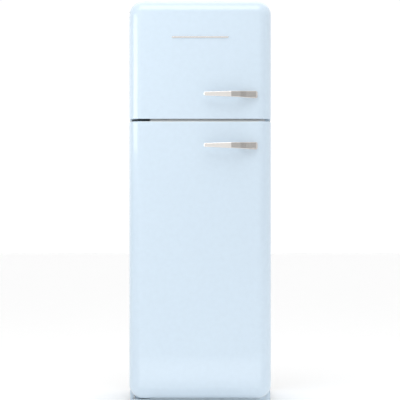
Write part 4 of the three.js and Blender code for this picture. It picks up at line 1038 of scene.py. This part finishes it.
class FRIDGE_OT_shelves(bpy.types.Operator):
    """Glass shelves with their trims, the crisper cover and the chromed bottle rack"""
    bl_idname = "fridge.shelves"
    bl_label = "Shelves"

    def execute(self, context):
        trims = []
        for node in ("shelf_1", "shelf_2", "shelf_3", "crisper_cover", "freezer_shelf"):
            soften(node, toughened_glass, "glass", 1 * MM, 3)
            near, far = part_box(node)
            half = far.x - LEDGE
            past, slack, rise = 2 * MM, 0.1 * MM, context.scene.fridge_shape.trim_rise
            for front, rear in ((near.y - past, near.y + 10 * MM), (far.y - 6 * MM, far.y + past)):
                trim = add_box("trim", (-half, front, near.z - 1.6 * MM), (half, rear, far.z + rise))
                cut(trim, add_box("groove", (-half - MM, near.y - slack, near.z - slack),
                                  (half + MM, far.y + slack, far.z + slack)))
                trims.append(round_edges(trim, 0.6 * MM, 3))
        finish(gather("shelf_trims", trims), moulded_abs, "cabinet", "liner")
        self.rack()
        return {"FINISHED"}

    def rack(self):
        """Two rails with seven rods welded across them."""
        near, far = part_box("bottle_rack")
        rail_radius, rod_radius, inset, count = 3 * MM, 2.1 * MM, 12 * MM, 7
        level = near.z + rail_radius
        rails = [add_rod("rail", (near.x, y, level), (far.x, y, level), rail_radius, 20)
                 for y in (near.y + inset, far.y - inset)]
        rods = []
        for index in range(count):
            x = near.x + inset + index * (far.x - near.x - 2 * inset) / (count - 1)
            rods.append(add_rod("rod", (x, near.y, level), (x, far.y, level), rod_radius, 16))
        for rod in rails + rods:
            round_edges(rod, 1.2 * MM, 3)
        rack = fuse(rails[0], *rails[1:], *rods)
        rack.name = "bottle_rack_rods"
        finish(rack, chromed_zinc, "cabinet", "chrome", "bottle_rack")


class FRIDGE_OT_boxes(bpy.types.Operator):
    """Clear crispers, door balconies, and the dairy box with its lid"""
    bl_idname = "fridge.boxes"
    bl_label = "Crispers and balconies"

    def execute(self, context):
        for node in ("crisper_left", "crisper_right", "bottle_balcony", "middle_balcony",
                     "dairy_box", "dairy_cover", "freezer_door_balcony"):
            soften(node, clear_polystyrene, "clear_plastic", 0.8 * MM, 3)
        return {"FINISHED"}


class FRIDGE_OT_controls(bpy.types.Operator):
    """Control housing with its scale, knob, door switch and lamp"""
    bl_idname = "fridge.controls"
    bl_label = "Controls"

    def execute(self, context):
        soften("control_housing", moulded_abs, "liner", 1.6 * MM, 4)
        soften("thermostat_knob", moulded_abs, "liner", 1 * MM, 3)
        soften("light_switch_button", moulded_abs, "grey_plastic", 0.8 * MM, 3)
        soften("lamp_cover", opal_polycarbonate, "clear_plastic", 1 * MM, 3)
        lamp = refined("lamp")
        modify(lamp, "SUBSURF", levels=2)
        finish(lamp, lamp_glass, "cabinet", "lamp_glass", "lamp", angle=60)
        self.scale_dots()
        return {"FINISHED"}

    def scale_dots(self):
        """Dots that grow round the knob, from its warmest to its coldest setting."""
        near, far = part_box("thermostat_knob")
        centre = (near + far) / 2
        face = low("control_housing").z
        ring = 25 * MM
        dots = []
        for step in range(7):
            turn = radians(-135 + step * 45)
            x = centre.x + ring * sin(turn)
            y = centre.y + ring * cos(turn)
            dots.append(add_rod("dot", (x, y, face - 0.2 * MM), (x, y, face + 0.3 * MM),
                                (0.8 + 0.2 * step) * MM, 16))
        finish(gather("thermostat_scale", dots), black_nylon, "cabinet", "black_plastic")


class FRIDGE_OT_machine(bpy.types.Operator):
    """Compressor, its tray, pipes, drier, drip tray and the mains inlet"""
    bl_idname = "fridge.machine"
    bl_label = "Machine compartment"

    def execute(self, context):
        self.compressor()
        soften("compressor_tray", galvanised_steel, "zinc_steel", 0.5 * MM)
        soften("terminal_cover", black_nylon, "black_plastic", 5 * MM, 4)
        soften("evaporation_tray", black_nylon, "black_plastic", 1 * MM, 3)
        soften("filter_drier", drawn_copper, "copper", 0, angle=60)
        for node in ("discharge_pipe", "suction_pipe"):
            smooth_tube(node, drawn_copper, "copper")
        self.inlet()
        return {"FINISHED"}

    # Each: radius, start and end as shares of the height, and the radius of bottom and top edge.
    POT = (65 * MM, 0, 1, 22 * MM, 34 * MM)
    WELD_RIM = (68 * MM, 0.52, 0.57, 2 * MM, 2 * MM)

    def compressor(self):
        """An oval pot with its weld rim, on a base plate with four rubber grommets."""
        near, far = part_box("compressor")
        middle = (near + far) / 2
        base, height, oval = near.z + 9 * MM, 172 * MM, 1.25
        parts = []
        for radius, start, end, bottom_edge, top_edge in (self.POT, self.WELD_RIM):
            z0, z1 = base + start * height, base + end * height
            pot = add_rod("compressor_pot", (0, middle.y, z0), (0, middle.y, z1), radius, 72)
            bevel_edges(pot, top_edge, 10, lambda a, b: min(a.z, b.z) > z1 - SMALL)
            bevel_edges(pot, bottom_edge, 8, lambda a, b: max(a.z, b.z) < z0 + SMALL)
            pot.scale.x = oval
            pot.location.x = middle.x
            parts.append(settle(pot))
        plate = rounded_box("plate", (near.x, near.y, base), (far.x, far.y, base + 3 * MM), 10 * MM,
                            5, lambda a, b: abs(a.z - b.z) > SMALL)
        shell = fuse(parts[0], parts[1], plate)
        finish(shell, black_enamel, "cabinet", "black_enamel", "compressor")
        grommets = []
        for x in (near.x + 10 * MM, far.x - 10 * MM):
            for y in (near.y + 8 * MM, far.y - 8 * MM):
                grommet = add_rod("grommet", (x, y, near.z), (x, y, base - 0.1 * MM), 8 * MM)
                grommets.append(round_edges(grommet, 1.5 * MM, 3))
        finish(gather("compressor_grommets", grommets), black_nylon, "cabinet", "black_plastic")

    def inlet(self):
        """A socket for the mains lead: a well with three flat pins."""
        near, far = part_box("power_inlet")
        body = round_edges(refined("power_inlet"), 1.5 * MM, 3)
        deep, wall, end = 14 * MM, 4 * MM, 6 * MM
        cut(body, add_box("well", (near.x + wall, far.y - deep, near.z + end),
                          (far.x - wall, far.y + MM, far.z - end)))
        finish(body, black_nylon, "cabinet", "black_plastic", "power_inlet")
        middle = (near + far) / 2
        half_thick, half_wide, sink, back = 1 * MM, 2 * MM, 0.2 * MM, 3 * MM
        pins = []
        for x, z in ((0, 0), (-5 * MM, 7 * MM), (-5 * MM, -7 * MM)):
            x, z = middle.x + x, middle.z + z
            pin = add_box("pin", (x - half_thick, far.y - deep - sink, z - half_wide),
                          (x + half_thick, far.y - back, z + half_wide))
            pins.append(round_edges(pin, 0.4 * MM))
        finish(gather("inlet_pins", pins), galvanised_steel, "cabinet", "zinc_steel")


class FRIDGE_OT_condenser(bpy.types.Operator):
    """Serpentine coil with fin wires, rails and wall spacers"""
    bl_idname = "fridge.condenser"
    bl_label = "Condenser"

    def execute(self, context):
        smooth_tube("condenser_coil", black_enamel, "black_enamel")
        shape = context.scene.fridge_shape
        near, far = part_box("condenser_wires")
        front, end = high("condenser_coil").y + 0.8 * MM, 4 * MM
        bottom, top = near.z + end, far.z - end
        half, radius = 205 * MM, shape.coil_wire / 2
        wire = add_rod("wires", (-half, front + radius, bottom), (-half, front + radius, top),
                       radius, 10)
        count = int(2 * half / shape.coil_pitch) + 1
        modify(wire, "ARRAY", count=count, use_relative_offset=False, use_constant_offset=True,
               constant_offset_displace=(2 * half / (count - 1), 0, 0))
        parts = [wire]
        rail_half, rail_thick, rail_inset = 2.5 * MM, 1.5 * MM, 6 * MM
        spacer_half, spacer_wide = 6.5 * MM, 12 * MM
        for height in (bottom + rail_half, top - rail_half):
            rail = add_box("rail", (near.x + rail_inset, front + 2 * radius, height - rail_half),
                           (far.x - rail_inset, front + 2 * radius + rail_thick, height + rail_half))
            parts.append(round_edges(rail, 0.5 * MM))
            for side in (near.x, far.x - spacer_wide):
                spacer = add_box("spacer", (side, near.y, height - spacer_half),
                                 (side + spacer_wide, far.y, height + spacer_half))
                parts.append(round_edges(spacer, 1.5 * MM, 3))
        finish(gather("condenser_fin_wires", parts), black_enamel, "cabinet", "black_enamel",
               "condenser_wires")
        return {"FINISHED"}


class FRIDGE_OT_feet(bpy.types.Operator):
    """Levelling feet at the front, rollers and their brackets at the rear"""
    bl_idname = "fridge.feet"
    bl_label = "Feet and rollers"

    def execute(self, context):
        for side in ("left", "right"):
            soften("front_foot_" + side, black_nylon, "black_plastic", 0.8 * MM, 3)
            soften("rear_roller_" + side, black_nylon, "black_plastic", 0.5 * MM)
            soften("roller_bracket_" + side, galvanised_steel, "zinc_steel", 0.4 * MM)
        return {"FINISHED"}


CLASSES = (
    FridgeShape, FridgeColours, FRIDGE_OT_stage, FRIDGE_OT_door_skins, FRIDGE_OT_cabinet,
    FRIDGE_OT_liners, FRIDGE_OT_door_liners, FRIDGE_OT_handles, FRIDGE_OT_hinges,
    FRIDGE_OT_shelves, FRIDGE_OT_boxes, FRIDGE_OT_controls, FRIDGE_OT_machine,
    FRIDGE_OT_condenser, FRIDGE_OT_feet,
)
PIECES = (
    "stage", "door_skins", "cabinet", "liners", "door_liners", "handles", "hinges", "shelves",
    "boxes", "controls", "machine", "condenser", "feet",
)


class FRIDGE_PT_panel(bpy.types.Panel):
    """Lists the pieces of the refrigerator"""
    bl_label = "Refrigerator"
    bl_idname = "FRIDGE_PT_panel"
    bl_space_type = "VIEW_3D"
    bl_region_type = "UI"
    bl_category = "Refrigerator"

    def draw(self, context):
        for group in (context.scene.fridge_shape, context.scene.fridge_colours):
            for key in group.bl_rna.properties.keys():
                if key not in ("rna_type", "name"):
                    self.layout.prop(group, key)
        for piece in PIECES:
            self.layout.operator("fridge." + piece)


def register():
    for cls in (*CLASSES, FRIDGE_PT_panel):
        bpy.utils.register_class(cls)
    bpy.types.Scene.fridge_shape = bpy.props.PointerProperty(type=FridgeShape)
    bpy.types.Scene.fridge_colours = bpy.props.PointerProperty(type=FridgeColours)


def unregister():
    del bpy.types.Scene.fridge_colours
    del bpy.types.Scene.fridge_shape
    for cls in reversed((*CLASSES, FRIDGE_PT_panel)):
        bpy.utils.unregister_class(cls)


def main():
    register()
    for piece in PIECES:
        getattr(bpy.ops.fridge, piece)()


if __name__ == "__main__":
    main()
